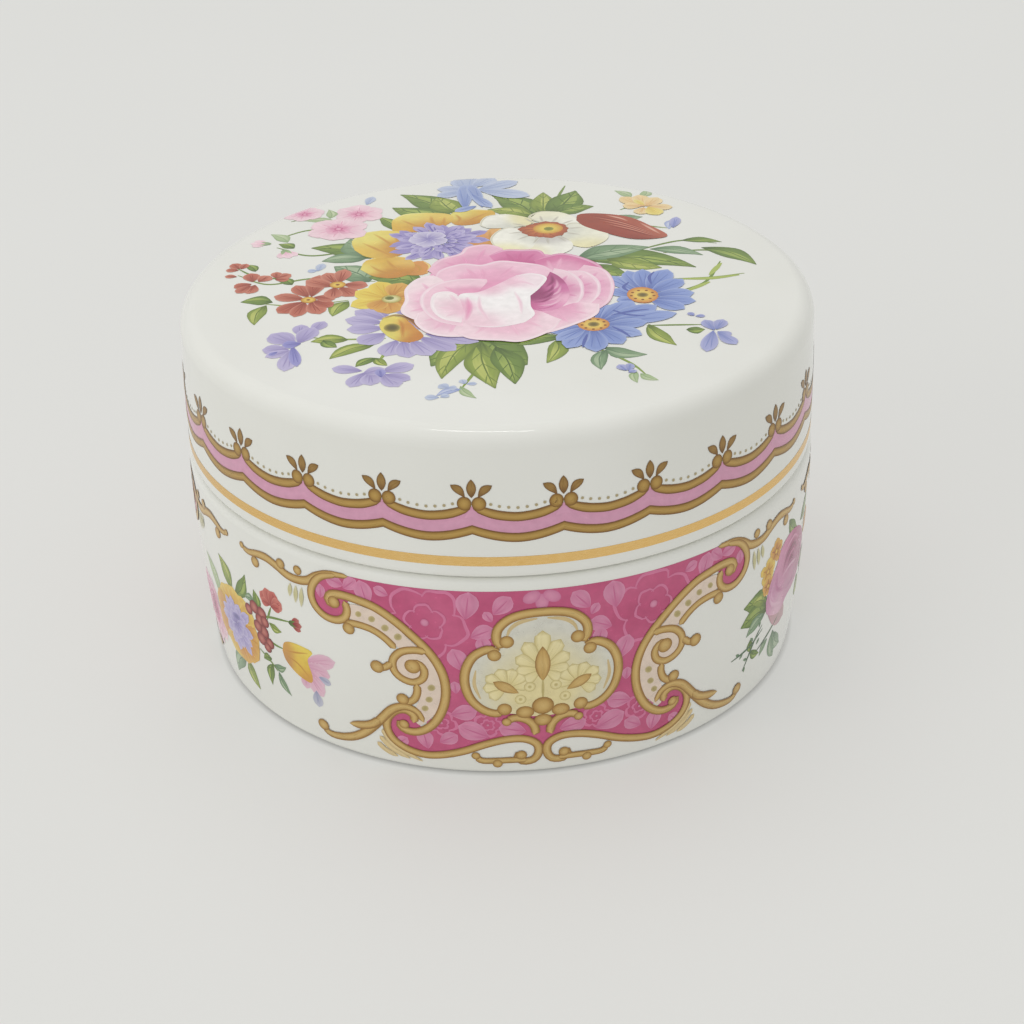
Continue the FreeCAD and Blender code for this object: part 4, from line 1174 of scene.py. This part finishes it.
ROSE_PETALS = [
    # free edge, root, tone at the root, tone at the free edge
    ([(-10.8, 7.6), (-8.4, 11.8), (-4.5, 14), (-3, 16.6), (0.5, 17.2), (2.8, 15)],
     [(2, 9), (-4, 6), (-9, 5)], (232, 150, 188), (245, 194, 214)),
    ([(0.2, 12.2), (3, 14.2), (6, 13.8), (8.8, 13.2), (9.6, 10.6)],
     [(7, 7), (2, 7)], (204, 96, 148), (228, 140, 182)),
    ([(7.6, 9.0), (9.8, 10.2), (12.8, 11), (16, 8.4), (18.2, 4.5), (18, 0)],
     [(12, 0), (8, 3)], (248, 200, 218), (220, 122, 168)),
    ([(-10, 3.4), (-8.6, 7.4), (-4.8, 9.4), (-1.6, 8.4), (1.6, 9.6), (4.6, 8.6), (8.4, 6.6), (10, 3.6)],
     [(5, 0), (-2, -2), (-8, -1)], (238, 162, 196), (248, 204, 221)),
    ([(15.6, 5.6), (18.4, 3.4), (19.2, -0.5), (18.8, -5), (17.2, -10), (15, -12.6)],
     [(12, -9), (12.6, 0)], (226, 138, 182), (247, 202, 219)),
    ([(12.6, 3.6), (15.4, 2.6), (16.8, -1.5), (16.2, -6.5), (14, -10.6)],
     [(11, -9), (11, 0)], (224, 134, 178), (251, 216, 228)),
    ([(10.4, 5.0), (12.8, 2.8), (14.0, -1.6), (13.2, -7.4), (10.8, -11.4)],
     [(8.6, -9), (9.2, 0)], (218, 122, 170), (251, 218, 229)),
    ([(15.6, -10.6), (14.4, -14.6), (10, -18), (5.5, -20.2), (2, -19.6)],
     [(3, -13), (8, -11.6), (12, -9.6)], (238, 166, 198), (252, 222, 231)),
    ([(-13.4, -13.4), (-16.4, -8.8), (-15.4, -4), (-15, 0.5), (-12.8, 4.4), (-10, 5.4)],
     [(-8, 0), (-9.6, -8), (-10.8, -12)], (240, 168, 200), (253, 230, 235)),
    ([(-4.6, -19.6), (-10, -19), (-13, -17), (-14.6, -13), (-14, -9.4)],
     [(-10, -8), (-5, -13)], (241, 178, 205), (252, 226, 233)),
    ([(8.6, -15.6), (6.4, -19.4), (1.5, -22.6), (-2, -21.8), (-6.6, -20.4), (-9, -17.0)],
     [(-5, -12), (4, -11)], (243, 182, 206), (252, 222, 231)),
    ([(-7.4, -15.8), (-11.4, -12.4), (-13, -7), (-12.4, -2), (-9.6, 1.8), (-5.4, 3.0), (-1.4, 2.2)],
     [(-3, -2), (-6, -9)], (238, 160, 194), (250, 212, 225)),
]


def rose_petal(p, free, root, inner, outer):
    """One soft petal: deep at its root, pale along its free edge."""
    middle = np.mean(free + root, axis=0)
    start = np.mean(root, axis=0)
    colour_at = p.wash(free + root, [(*middle, 2.6, mix(inner, outer, 0.4)), (*start, 3.0, inner)]
                       + [(u, v, 2.0, outer) for u, v in free])
    p.fold(free, 0.8, mix(outer, (255, 246, 248), 0.6), colour_at)
    for share in (0.3, 0.55, 0.8):
        edge = free[int(share * (len(free) - 1))]
        p.fold([mix(start, edge, 0.35), mix(start, edge, 0.6), mix(start, edge, 0.85)], 1.0,
               mix(inner, outer, 0.25), colour_at)


def bouquet_rose():
    """Big pale rose: a white bowl of petals beside a dark folded heart."""
    p = Print(on_lid_top, FINE_LAYER, seed=74, base=ROSE_BASE)
    pink, dark = (240, 174, 204), (158, 64, 114)
    p.wash([(-9, 9), (-4, 14), (2, 14), (9, 12), (16, 7), (18, 0), (17, -8), (12, -15), (4, -20), (-4, -19),
            (-12, -15), (-14, -7), (-13, 1)], [(0, 0, 20, pink)], spacing=2.0)
    for free, root, inner, outer in ROSE_PETALS:
        rose_petal(p, free, root, inner, outer)
    heart = p.wash([(9.6, 3.8), (10.8, 1.6), (11.6, -2), (11.4, -6.4), (9.8, -10.4), (7.4, -12), (4.8, -11),
                    (4.0, -8), (5.4, -4.8), (7.6, -1.2)],
                   [(9.2, 1, 1.6, (186, 90, 140)), (6.4, -5.6, 2.0, dark), (7.8, -10, 2.2, (232, 152, 192)),
                    (9.8, -4, 1.6, (212, 118, 168)), (10.6, -7.6, 2, (243, 186, 210)),
                    (5, -9.6, 1.4, (200, 96, 148))],
                   spacing=0.7)
    for path, width, colour in (
        ([(9.6, 2.4), (9.4, -0.4), (8.0, -2.6)], 0.9, (148, 54, 106)),
        ([(10.2, 0.4), (9.8, -2.6), (7.6, -4.6)], 0.8, (240, 182, 208)),
        ([(9.4, -1.6), (8.6, -3.8), (6.8, -5.2)], 0.8, (146, 52, 104)),
        ([(10.6, -2.2), (9.6, -5.0), (7.2, -6.6)], 0.7, (244, 194, 214)),
        ([(9.2, -4.2), (7.8, -6.4), (6.2, -7.0)], 0.9, (146, 52, 104)),
        ([(10.4, -5.0), (8.8, -7.4), (6.2, -8.4)], 0.7, (240, 180, 206)),
        ([(8.4, -6.8), (6.8, -8.2), (5.2, -8.2)], 0.8, (158, 62, 114)),
        ([(10.0, -7.6), (8.0, -9.6), (5.6, -9.8)], 0.7, (246, 200, 218)),
        ([(9.0, -9.4), (7.2, -10.8), (5.6, -10.8)], 0.6, (206, 108, 158)),
    ):
        p.fold(path, width, colour, heart)
    bowl = [(-7.4, -12.6), (-6.8, -3.6), (-3.2, -2.6), (0.4, 0.2), (3.6, 3.0), (6.4, 3.4), (8.4, 1.4),
            (6.8, -2.4), (4.8, -5.6), (4.2, -9.6), (4.4, -13), (2.6, -15.8), (-2, -16.8), (-6.0, -15.8)]
    white = (255, 251, 250)
    colour_at = p.wash(bowl, [
        (0, -7, 4.2, white), (6, 1, 2.2, (253, 234, 240)), (-6.6, -8, 1.7, (244, 184, 208)),
        (-4, -14.4, 2.8, (250, 214, 226)), (1.4, -13.6, 3, (254, 244, 245)),
        (-1.2, -2.2, 1.8, (246, 194, 214)), (3, 1.0, 1.6, (247, 200, 218))])
    p.fold(bowl[4:9], 0.6, white, colour_at)
    p.fold(bowl[8:12], 0.7, white, colour_at)
    p.fold(bowl[11:14], 0.7, (254, 240, 244), colour_at)
    for path, width, colour in (
        ([(-5.4, -4.4), (-5.6, -9), (-6.6, -13.6)], 1.4, (236, 154, 190)),
        ([(-3.4, -4.4), (-3.8, -9), (-3.0, -14)], 1.0, (248, 206, 221)),
        ([(2.6, -3.4), (3.0, -8), (2.6, -12.6)], 0.9, (249, 212, 225)),
        ([(1.6, -0.4), (4.2, 0.4), (6.2, -1.4)], 0.9, (248, 206, 222)),
    ):
        p.fold(path, width, colour, colour_at)
    rose_petal(p, [(-7.4, -14.2), (-10.2, -12), (-11.4, -7.6), (-10.6, -2.6), (-8.4, -1.8), (-7.0, -3.4)],
               [(-6.6, -9)], (246, 198, 216), (254, 242, 243))
    p.build("lid_rose", enamel, "jar_lid")


# ---------------------------------------------------------------- materials
def new_material(name):
    material = bpy.data.materials.new(name)
    material.use_nodes = True
    nodes = material.node_tree.nodes
    return material, nodes, material.node_tree.links, nodes["Principled BSDF"]


def noise_node(nodes, links, scale, detail=3.0, coordinates=None):
    texture = nodes.new("ShaderNodeTexNoise")
    texture.inputs["Scale"].default_value = scale
    texture.inputs["Detail"].default_value = detail
    if coordinates is None:
        coordinates = nodes.new("ShaderNodeTexCoord").outputs["Object"]
    links.new(coordinates, texture.inputs["Vector"])
    return texture.outputs["Fac"]


def spread(nodes, links, value, low, high):
    remap = nodes.new("ShaderNodeMapRange")
    remap.inputs["From Min"].default_value = 0.3
    remap.inputs["From Max"].default_value = 0.7
    remap.inputs["To Min"].default_value = low
    remap.inputs["To Max"].default_value = high
    links.new(value, remap.inputs["Value"])
    return remap.outputs["Result"]


def two_tone(nodes, links, value, a, b):
    colours = nodes.new("ShaderNodeValToRGB")
    colours.color_ramp.elements[0].color = (*linear(a), 1)
    colours.color_ramp.elements[1].color = (*linear(b), 1)
    colours.color_ramp.elements[0].position = 0.35
    colours.color_ramp.elements[1].position = 0.65
    links.new(value, colours.inputs["Fac"])
    return colours.outputs["Color"]


def bump(nodes, links, value, distance, shader, strength=1.0):
    relief = nodes.new("ShaderNodeBump")
    relief.inputs["Distance"].default_value = distance
    relief.inputs["Strength"].default_value = strength
    links.new(value, relief.inputs["Height"])
    links.new(relief.outputs["Normal"], shader.inputs["Normal"])


def china_material():
    """Clear glaze over warm white bone china, with its faint orange peel."""
    material, nodes, links, shader = new_material("glazed_china")
    cloud = noise_node(nodes, links, 28)
    links.new(two_tone(nodes, links, cloud, (236, 236, 229), (241, 241, 235)), shader.inputs["Base Color"])
    links.new(spread(nodes, links, noise_node(nodes, links, 60), 0.06, 0.12), shader.inputs["Roughness"])
    shader.inputs["IOR"].default_value = 1.5
    shader.inputs["Coat Weight"].default_value = 0.3
    shader.inputs["Coat Roughness"].default_value = 0.05
    bump(nodes, links, noise_node(nodes, links, 260, 1.0), 0.00002, shader, 0.5)
    return material


def print_material(name, metallic, roughness):
    """Fired colour: the painted tones broken up by brush streaks, under a thin gloss."""
    material, nodes, links, shader = new_material(name)
    tone = nodes.new("ShaderNodeAttribute")
    tone.attribute_name = "Col"
    brush = nodes.new("ShaderNodeAttribute")
    brush.attribute_name = "Brush"
    streak = noise_node(nodes, links, 1.3, 4.0, brush.outputs["Vector"])
    strength = spread(nodes, links, streak, 0.93, 1.05)
    scaled = nodes.new("ShaderNodeVectorMath")
    scaled.operation = "SCALE"
    links.new(tone.outputs["Color"], scaled.inputs[0])
    links.new(strength, scaled.inputs["Scale"])
    links.new(scaled.outputs["Vector"], shader.inputs["Base Color"])
    shader.inputs["Metallic"].default_value = metallic
    links.new(spread(nodes, links, streak, roughness, roughness + 0.14), shader.inputs["Roughness"])
    bump(nodes, links, streak, 0.00002, shader, 0.4)
    return material


def burnished_gold_material():
    """Bright gold leaf rubbed round the jar, with fine streaks and thin places."""
    material, nodes, links, shader = new_material("burnished_gold")
    brush = nodes.new("ShaderNodeAttribute")
    brush.attribute_name = "Brush"
    streak = noise_node(nodes, links, 2.0, 4.0, brush.outputs["Vector"])
    links.new(two_tone(nodes, links, streak, (232, 190, 118), (240, 202, 136)), shader.inputs["Base Color"])
    shader.inputs["Metallic"].default_value = 1.0
    links.new(spread(nodes, links, streak, 0.22, 0.3), shader.inputs["Roughness"])
    return material


def powder_material():
    """Loose pink-beige face powder, finely grained."""
    material, nodes, links, shader = new_material("face_powder")
    grain = noise_node(nodes, links, 2600, 4.0)
    links.new(two_tone(nodes, links, grain, (228, 184, 162), (240, 204, 186)), shader.inputs["Base Color"])
    shader.inputs["Roughness"].default_value = 1.0
    bump(nodes, links, grain, 0.00008, shader)
    return material


def fabric_material(name, dark, light, roughness, sheen, weave, depth):
    """Cloth with a fine weave or pile and a soft sheen."""
    material, nodes, links, shader = new_material(name)
    coordinates = nodes.new("ShaderNodeTexCoord")
    threads = nodes.new("ShaderNodeTexWave")
    threads.inputs["Scale"].default_value = weave
    threads.inputs["Distortion"].default_value = 1.2
    threads.inputs["Detail"].default_value = 2.0
    links.new(coordinates.outputs["Object"], threads.inputs["Vector"])
    pile = noise_node(nodes, links, weave * 1.7, 4.0)
    both = nodes.new("ShaderNodeMath")
    both.operation = "MULTIPLY_ADD"
    both.inputs[1].default_value = 0.3
    links.new(threads.outputs["Fac"], both.inputs[0])
    links.new(pile, both.inputs[2])
    links.new(two_tone(nodes, links, both.outputs["Value"], dark, light), shader.inputs["Base Color"])
    shader.inputs["Roughness"].default_value = roughness
    shader.inputs["Sheen Weight"].default_value = sheen
    shader.inputs["Sheen Roughness"].default_value = 0.4
    bump(nodes, links, both.outputs["Value"], depth, shader)
    return material


# The floor's emission is painted light, and where it fades out round the foot it paints a contact shade.
FLOOR_GLOW = 0.36
PAINTED_SHADE_EDGE = (0.0495, 0.0518)     # metres from the axis, round the foot, over which it comes up


def floor_material():
    """Pale floor with a little painted light of its own, none of it under the jar, so that a painted contact
    shade rings the foot.
    """
    material, nodes, links, shader = new_material("pale_floor")
    cloud = noise_node(nodes, links, 3.0)
    links.new(two_tone(nodes, links, cloud, (168, 168, 165), (171, 171, 168)), shader.inputs["Base Color"])
    shader.inputs["Roughness"].default_value = 0.7
    shader.inputs["Emission Color"].default_value = (1.0, 1.0, 0.975, 1)
    place = nodes.new("ShaderNodeNewGeometry")
    flat = nodes.new("ShaderNodeVectorMath")
    flat.operation = "MULTIPLY"
    flat.inputs[1].default_value = (1, 1, 0)
    links.new(place.outputs["Position"], flat.inputs[0])
    length = nodes.new("ShaderNodeVectorMath")
    length.operation = "LENGTH"
    links.new(flat.outputs["Vector"], length.inputs[0])
    # Painted contact shade: no emission under the jar, coming up to full strength across a thin band round
    # the foot.
    glow = nodes.new("ShaderNodeMapRange")
    glow.inputs["From Min"].default_value, glow.inputs["From Max"].default_value = PAINTED_SHADE_EDGE
    glow.inputs["To Min"].default_value = 0.0
    glow.inputs["To Max"].default_value = FLOOR_GLOW
    links.new(length.outputs["Value"], glow.inputs["Value"])
    links.new(glow.outputs["Result"], shader.inputs["Emission Strength"])
    return material


china = china_material()
enamel = print_material("fired_enamel", 0.0, 0.14)
gold_print = print_material("gold_print", 0.15, 0.24)
burnished_gold = burnished_gold_material()
powder = powder_material()
plush = fabric_material("puff_pile", (226, 208, 198), (246, 234, 226), 0.95, 0.6, 700, 0.0005)
satin = fabric_material("satin", (176, 84, 116), (206, 116, 146), 0.34, 0.3, 1600, 0.00003)
piping_cloth = fabric_material("piping_cloth", (184, 140, 74), (214, 176, 108), 0.45, 0.3, 1500, 0.00005)
ribbon_cloth = fabric_material("ribbon_cloth", (160, 58, 94), (190, 84, 122), 0.38, 0.3, 1800, 0.00003)

# ---------------------------------------------------------------- china and its decoration
add_piece("bowl_china", turned_mesh("bowl_china", BOWL_OUTLINE), china, "jar_bowl", ["bowl"])
add_piece("lid_china", turned_mesh("lid_china", LID_OUTLINE), china, "jar_lid", ["lid"])
gold_band()
lid_border()
bouquet_leaves()
bouquet_left()
bouquet_right()
bouquet_rose()
for number in range(len(CARTOUCHE_PLACES)):
    cartouche(number)
yellow_spray("spray_left", -SPRAY_PLACE)
rose_spray("spray_right", SPRAY_PLACE)
yellow_spray("spray_back", math.pi * PRINT_RADIUS)


# ---------------------------------------------------------------- powder and puff
def loose_powder():
    """Bed of powder with faint rings and small lumps in its top."""
    outline = rounded([(0, 3.65, 0), (49.25, 3.65, 7.5), (49.6, POWDER_TOP, 1.0)])
    surface = POWDER_TOP - 0.35            # the lumps rise from here to just under the CAD's top
    rings = [(radius, surface) for radius in np.arange(47.5, 0, -0.9)]
    outline += ([(Vector((r, z)), Vector((0, 1))) for r, z in rings]
                + [(Vector((0, surface)), Vector((0, 1)))])
    mesh = turned_mesh("loose_powder_bed", outline, 180)
    for vertex in mesh.vertices:
        radius = math.hypot(vertex.co.x, vertex.co.y) / MM
        if vertex.co.z / MM > POWDER_TOP - 0.5 and radius < 48:
            lump = noise.fractal(vertex.co * 90, 0.8, 2.0, 4) * 0.22
            dip = 0.12 * math.cos(radius * 0.55)
            vertex.co.z += min(0.33, lump + dip) * MM
    mesh.normals_split_custom_set_from_vertices([(0, 0, 0)] * len(mesh.vertices))
    add_piece("loose_powder_bed", mesh, powder, "jar_bowl", ["loose_powder"])


def inflated(mesh, pressure, cap):
    """Mesh after a short cloth simulation under pressure, with each point's travel capped."""
    pad = linked("inflating", mesh)
    start = [vertex.co.copy() for vertex in mesh.vertices]
    cloth = pad.modifiers.new("Cloth", "CLOTH")
    cloth.settings.quality = 5
    cloth.settings.mass = 0.2
    cloth.settings.tension_stiffness = 12
    cloth.settings.use_pressure = True
    cloth.settings.uniform_pressure_force = pressure
    cloth.settings.effector_weights.gravity = 0
    for step in range(1, 21):
        bpy.context.scene.frame_set(step)
    shaped = evaluated_mesh(pad)
    bpy.context.scene.frame_set(1)
    bpy.data.objects.remove(pad)
    for vertex, place in zip(shaped.vertices, start):
        travel = vertex.co - place
        if travel.length > cap:
            travel *= cap / travel.length
        vertex.co = place + travel
    return shaped


PAD_PRESSURE = 2.0
PAD_TRAVEL = 0.9          # furthest that the simulation may move a point
PAD_TUFT = 0.35


def puff_pad():
    """Deep-pile face of the puff: a crowned closed pad, swelled as cloth and then tufted."""
    seam = SEAM_HEIGHT - 1.3
    outline = rounded([(0, PUFF_BOTTOM + 0.9, 0), (PUFF_RADIUS - 1.4, PUFF_BOTTOM + 0.9, 6.0),
                       (PUFF_RADIUS - 1.4, seam, 1.5), (PUFF_RADIUS - 6, seam, 0.5)], 8)
    outline = [row for row in outline if row[0].y < seam + 0.01]
    rows = []
    for (place, normal), (after, _) in zip(outline, outline[1:]):
        parts = max(1, int((after - place).length / 2.2))
        rows += [(place.lerp(after, k / parts), normal) for k in range(parts)]
    rows += [outline[-1], (Vector((0, seam)), Vector((0, 1)))]
    mesh = turned_mesh("puff_pile", rows, 120)
    mesh = inflated(mesh, PAD_PRESSURE, PAD_TRAVEL * MM)
    pad = linked("puff_pile", mesh)
    finer = pad.modifiers.new("Subdivision", "SUBSURF")
    finer.levels = 1
    finer.render_levels = 1
    shaped = evaluated_mesh(pad)
    bpy.data.objects.remove(pad)
    shaped.name = "puff_pile"
    normals = [vertex.normal.copy() for vertex in shaped.vertices]
    for vertex, normal in zip(shaped.vertices, normals):
        vertex.co += normal * noise.fractal(vertex.co * 420, 0.9, 2.1, 3) * PAD_TUFT * MM
        vertex.co.z = max(vertex.co.z, (PUFF_BOTTOM + 0.02) * MM)
        vertex.co.z = min(vertex.co.z, (seam + 0.2) * MM)
        radius = math.hypot(vertex.co.x, vertex.co.y)
        if radius > PUFF_RADIUS * MM:
            vertex.co.x *= PUFF_RADIUS * MM / radius
            vertex.co.y *= PUFF_RADIUS * MM / radius
    shaped.shade_smooth()
    shaped.materials.clear()
    piece = add_piece("puff_pile", shaped, plush, "powder_puff", ["puff_plush", "puff_filling"])


SATIN_EDGE = PUFF_RADIUS - 0.9
RIBBON_WIDTH = 15.8
RIBBON_THICKNESS = 0.35


def satin_height(radius):
    """Height of the satin crown over the puff at a distance from its middle."""
    share = min(1.0, radius / SATIN_EDGE)
    return PUFF_CROWN - (PUFF_CROWN - SEAM_HEIGHT) * share ** 2.2


def satin_back():
    """Satin disc gathered into small puckers at the seam."""
    around, rings = 240, 26
    points = [(0, 0, satin_height(0) * MM)]
    for ring in range(1, rings + 1):
        radius = SATIN_EDGE * ring / rings
        depth = 0.32 * (ring / rings) ** 3
        for step in range(around):
            angle = math.tau * step / around
            fold = depth * (math.sin(angle * 38 + 1.5 * math.sin(angle * 5)) - 1) / 2
            points.append((radius * math.cos(angle) * MM, radius * math.sin(angle) * MM,
                           (satin_height(radius) + fold) * MM))
    mesh = smooth_mesh("puff_satin", points, disc_faces(rings, around))
    piece = add_piece("puff_satin", mesh, satin, "powder_puff", ["puff_backing"])


def piping_ring():
    """Twisted cord sewn round the puff's seam."""
    around, section = 900, 20
    points = []
    for step in range(around):
        angle = math.tau * step / around
        for k in range(section):
            turn = math.tau * k / section
            thick = 1.02 + 0.08 * math.cos(3 * turn + angle * 72)
            radius = PUFF_RADIUS + thick * math.cos(turn)
            points.append((radius * math.cos(angle) * MM, radius * math.sin(angle) * MM,
                           (SEAM_HEIGHT + thick * math.sin(turn)) * MM))
    faces = [(a * section + k, ((a + 1) % around) * section + k,
              ((a + 1) % around) * section + (k + 1) % section, a * section + (k + 1) % section)
             for a in range(around) for k in range(section)]
    mesh = smooth_mesh("puff_cord_piping", points, faces)
    add_piece("puff_cord_piping", mesh, piping_cloth, "powder_puff", ["puff_piping"])


def ribbon_strap():
    """Ribbon sewn down at both ends, arched over the satin."""
    rise = STRAP_TOP - 0.5
    path = [(-STRAP_END, satin_height(STRAP_END) + 0.35), (-30.5, satin_height(30.5) + 0.4),
            (-26.4, satin_height(26.4) + 0.7), (-19.5, PUFF_CROWN + 3.6), (-11, rise - 0.5),
            (0, rise), (11, rise - 0.5), (19.5, PUFF_CROWN + 3.6), (26.4, satin_height(26.4) + 0.7),
            (30.5, satin_height(30.5) + 0.4), (STRAP_END, satin_height(STRAP_END) + 0.35)]
    line, _, run = smooth(path, 0.9)
    points = []
    columns = 17
    for (x, z), at in zip(line, run):
        free = math.sin(math.pi * at / run[-1])
        for k in range(columns):
            across = 2 * k / (columns - 1) - 1
            sag = -0.35 * free * across ** 2 + 0.12 * free * math.sin(3 * across + at * 0.2)
            points.append((x * MM, across * RIBBON_WIDTH / 2 * (1 - 0.05 * free) * MM, (z + sag) * MM))
    mesh = smooth_mesh("puff_ribbon_strap", points, grid_faces(len(line), columns))
    piece = add_piece("puff_ribbon_strap", mesh, ribbon_cloth, "powder_puff", ["puff_ribbon"])
    thick = piece.modifiers.new("Solidify", "SOLIDIFY")
    thick.thickness = RIBBON_THICKNESS * MM
    thick.offset = 0


loose_powder()
puff_pad()
satin_back()
piping_ring()
ribbon_strap()


# ---------------------------------------------------------------- floor, light and camera
def floor():
    mesh = bpy.data.meshes.new("floor")
    mesh.from_pydata([(-3, -3, 0), (3, -3, 0), (3, 3, 0), (-3, 3, 0)], [], [(0, 1, 2, 3)])
    ground = linked("floor", mesh)
    mesh.materials.append(floor_material())


def area_light(name, place, size, power, seen=False):
    lamp = bpy.data.lights.new(name, "AREA")
    lamp.shape = "RECTANGLE"
    lamp.size, lamp.size_y = size
    lamp.energy = power
    light = linked(name, lamp)
    light.location = place
    light.visible_glossy = seen
    light.rotation_euler = (Vector((0, 0, 0.03)) - Vector(place)).to_track_quat("-Z", "Y").to_euler()


def studio():
    world = bpy.data.worlds.new("studio")
    bpy.context.scene.world = world
    world.use_nodes = True
    background = world.node_tree.nodes["Background"]
    background.inputs["Color"].default_value = (1.0, 1.0, 0.985, 1)
    background.inputs["Strength"].default_value = 0.62
    area_light("top_softbox", (-0.15, 0.25, 0.95), (0.9, 0.7), 2.2)
    area_light("left_softbox", (-0.9, -0.5, 0.55), (0.6, 0.6), 1.6)
    area_light("strip_light", (-0.06, -0.12, 0.95), (0.34, 0.03), 0.35, seen=True)


CAMERA_TURN = math.radians(6.22)     # the front centre line is this far right of the camera
CAMERA_BACK = 355.6
CAMERA_UP = 219.4
CAMERA_PITCH = 0.5112
CAMERA_YAW = 0.0049
CAMERA_ROLL = -0.0222
CAMERA_LENS = 80.95


def camera():
    data = bpy.data.cameras.new("camera")
    data.lens = CAMERA_LENS
    data.sensor_width = 36.0
    eye_point = linked("camera", data)
    ahead = Vector((math.sin(CAMERA_YAW) * math.cos(CAMERA_PITCH),
                    math.cos(CAMERA_YAW) * math.cos(CAMERA_PITCH), -math.sin(CAMERA_PITCH)))
    right = Vector((math.cos(CAMERA_YAW), -math.sin(CAMERA_YAW), 0))
    above = right.cross(ahead)
    right_rolled = right * math.cos(CAMERA_ROLL) + above * math.sin(CAMERA_ROLL)
    above_rolled = above * math.cos(CAMERA_ROLL) - right * math.sin(CAMERA_ROLL)
    turn = Matrix((right_rolled, above_rolled, -ahead)).transposed().to_4x4()
    stand = Matrix.Translation(Vector((0, -CAMERA_BACK, CAMERA_UP)) * MM)
    eye_point.matrix_world = Matrix.Rotation(-CAMERA_TURN, 4, "Z") @ stand @ turn
    bpy.context.scene.camera = eye_point


floor()
studio()
camera()
bpy.context.scene.view_settings.view_transform = "Standard"
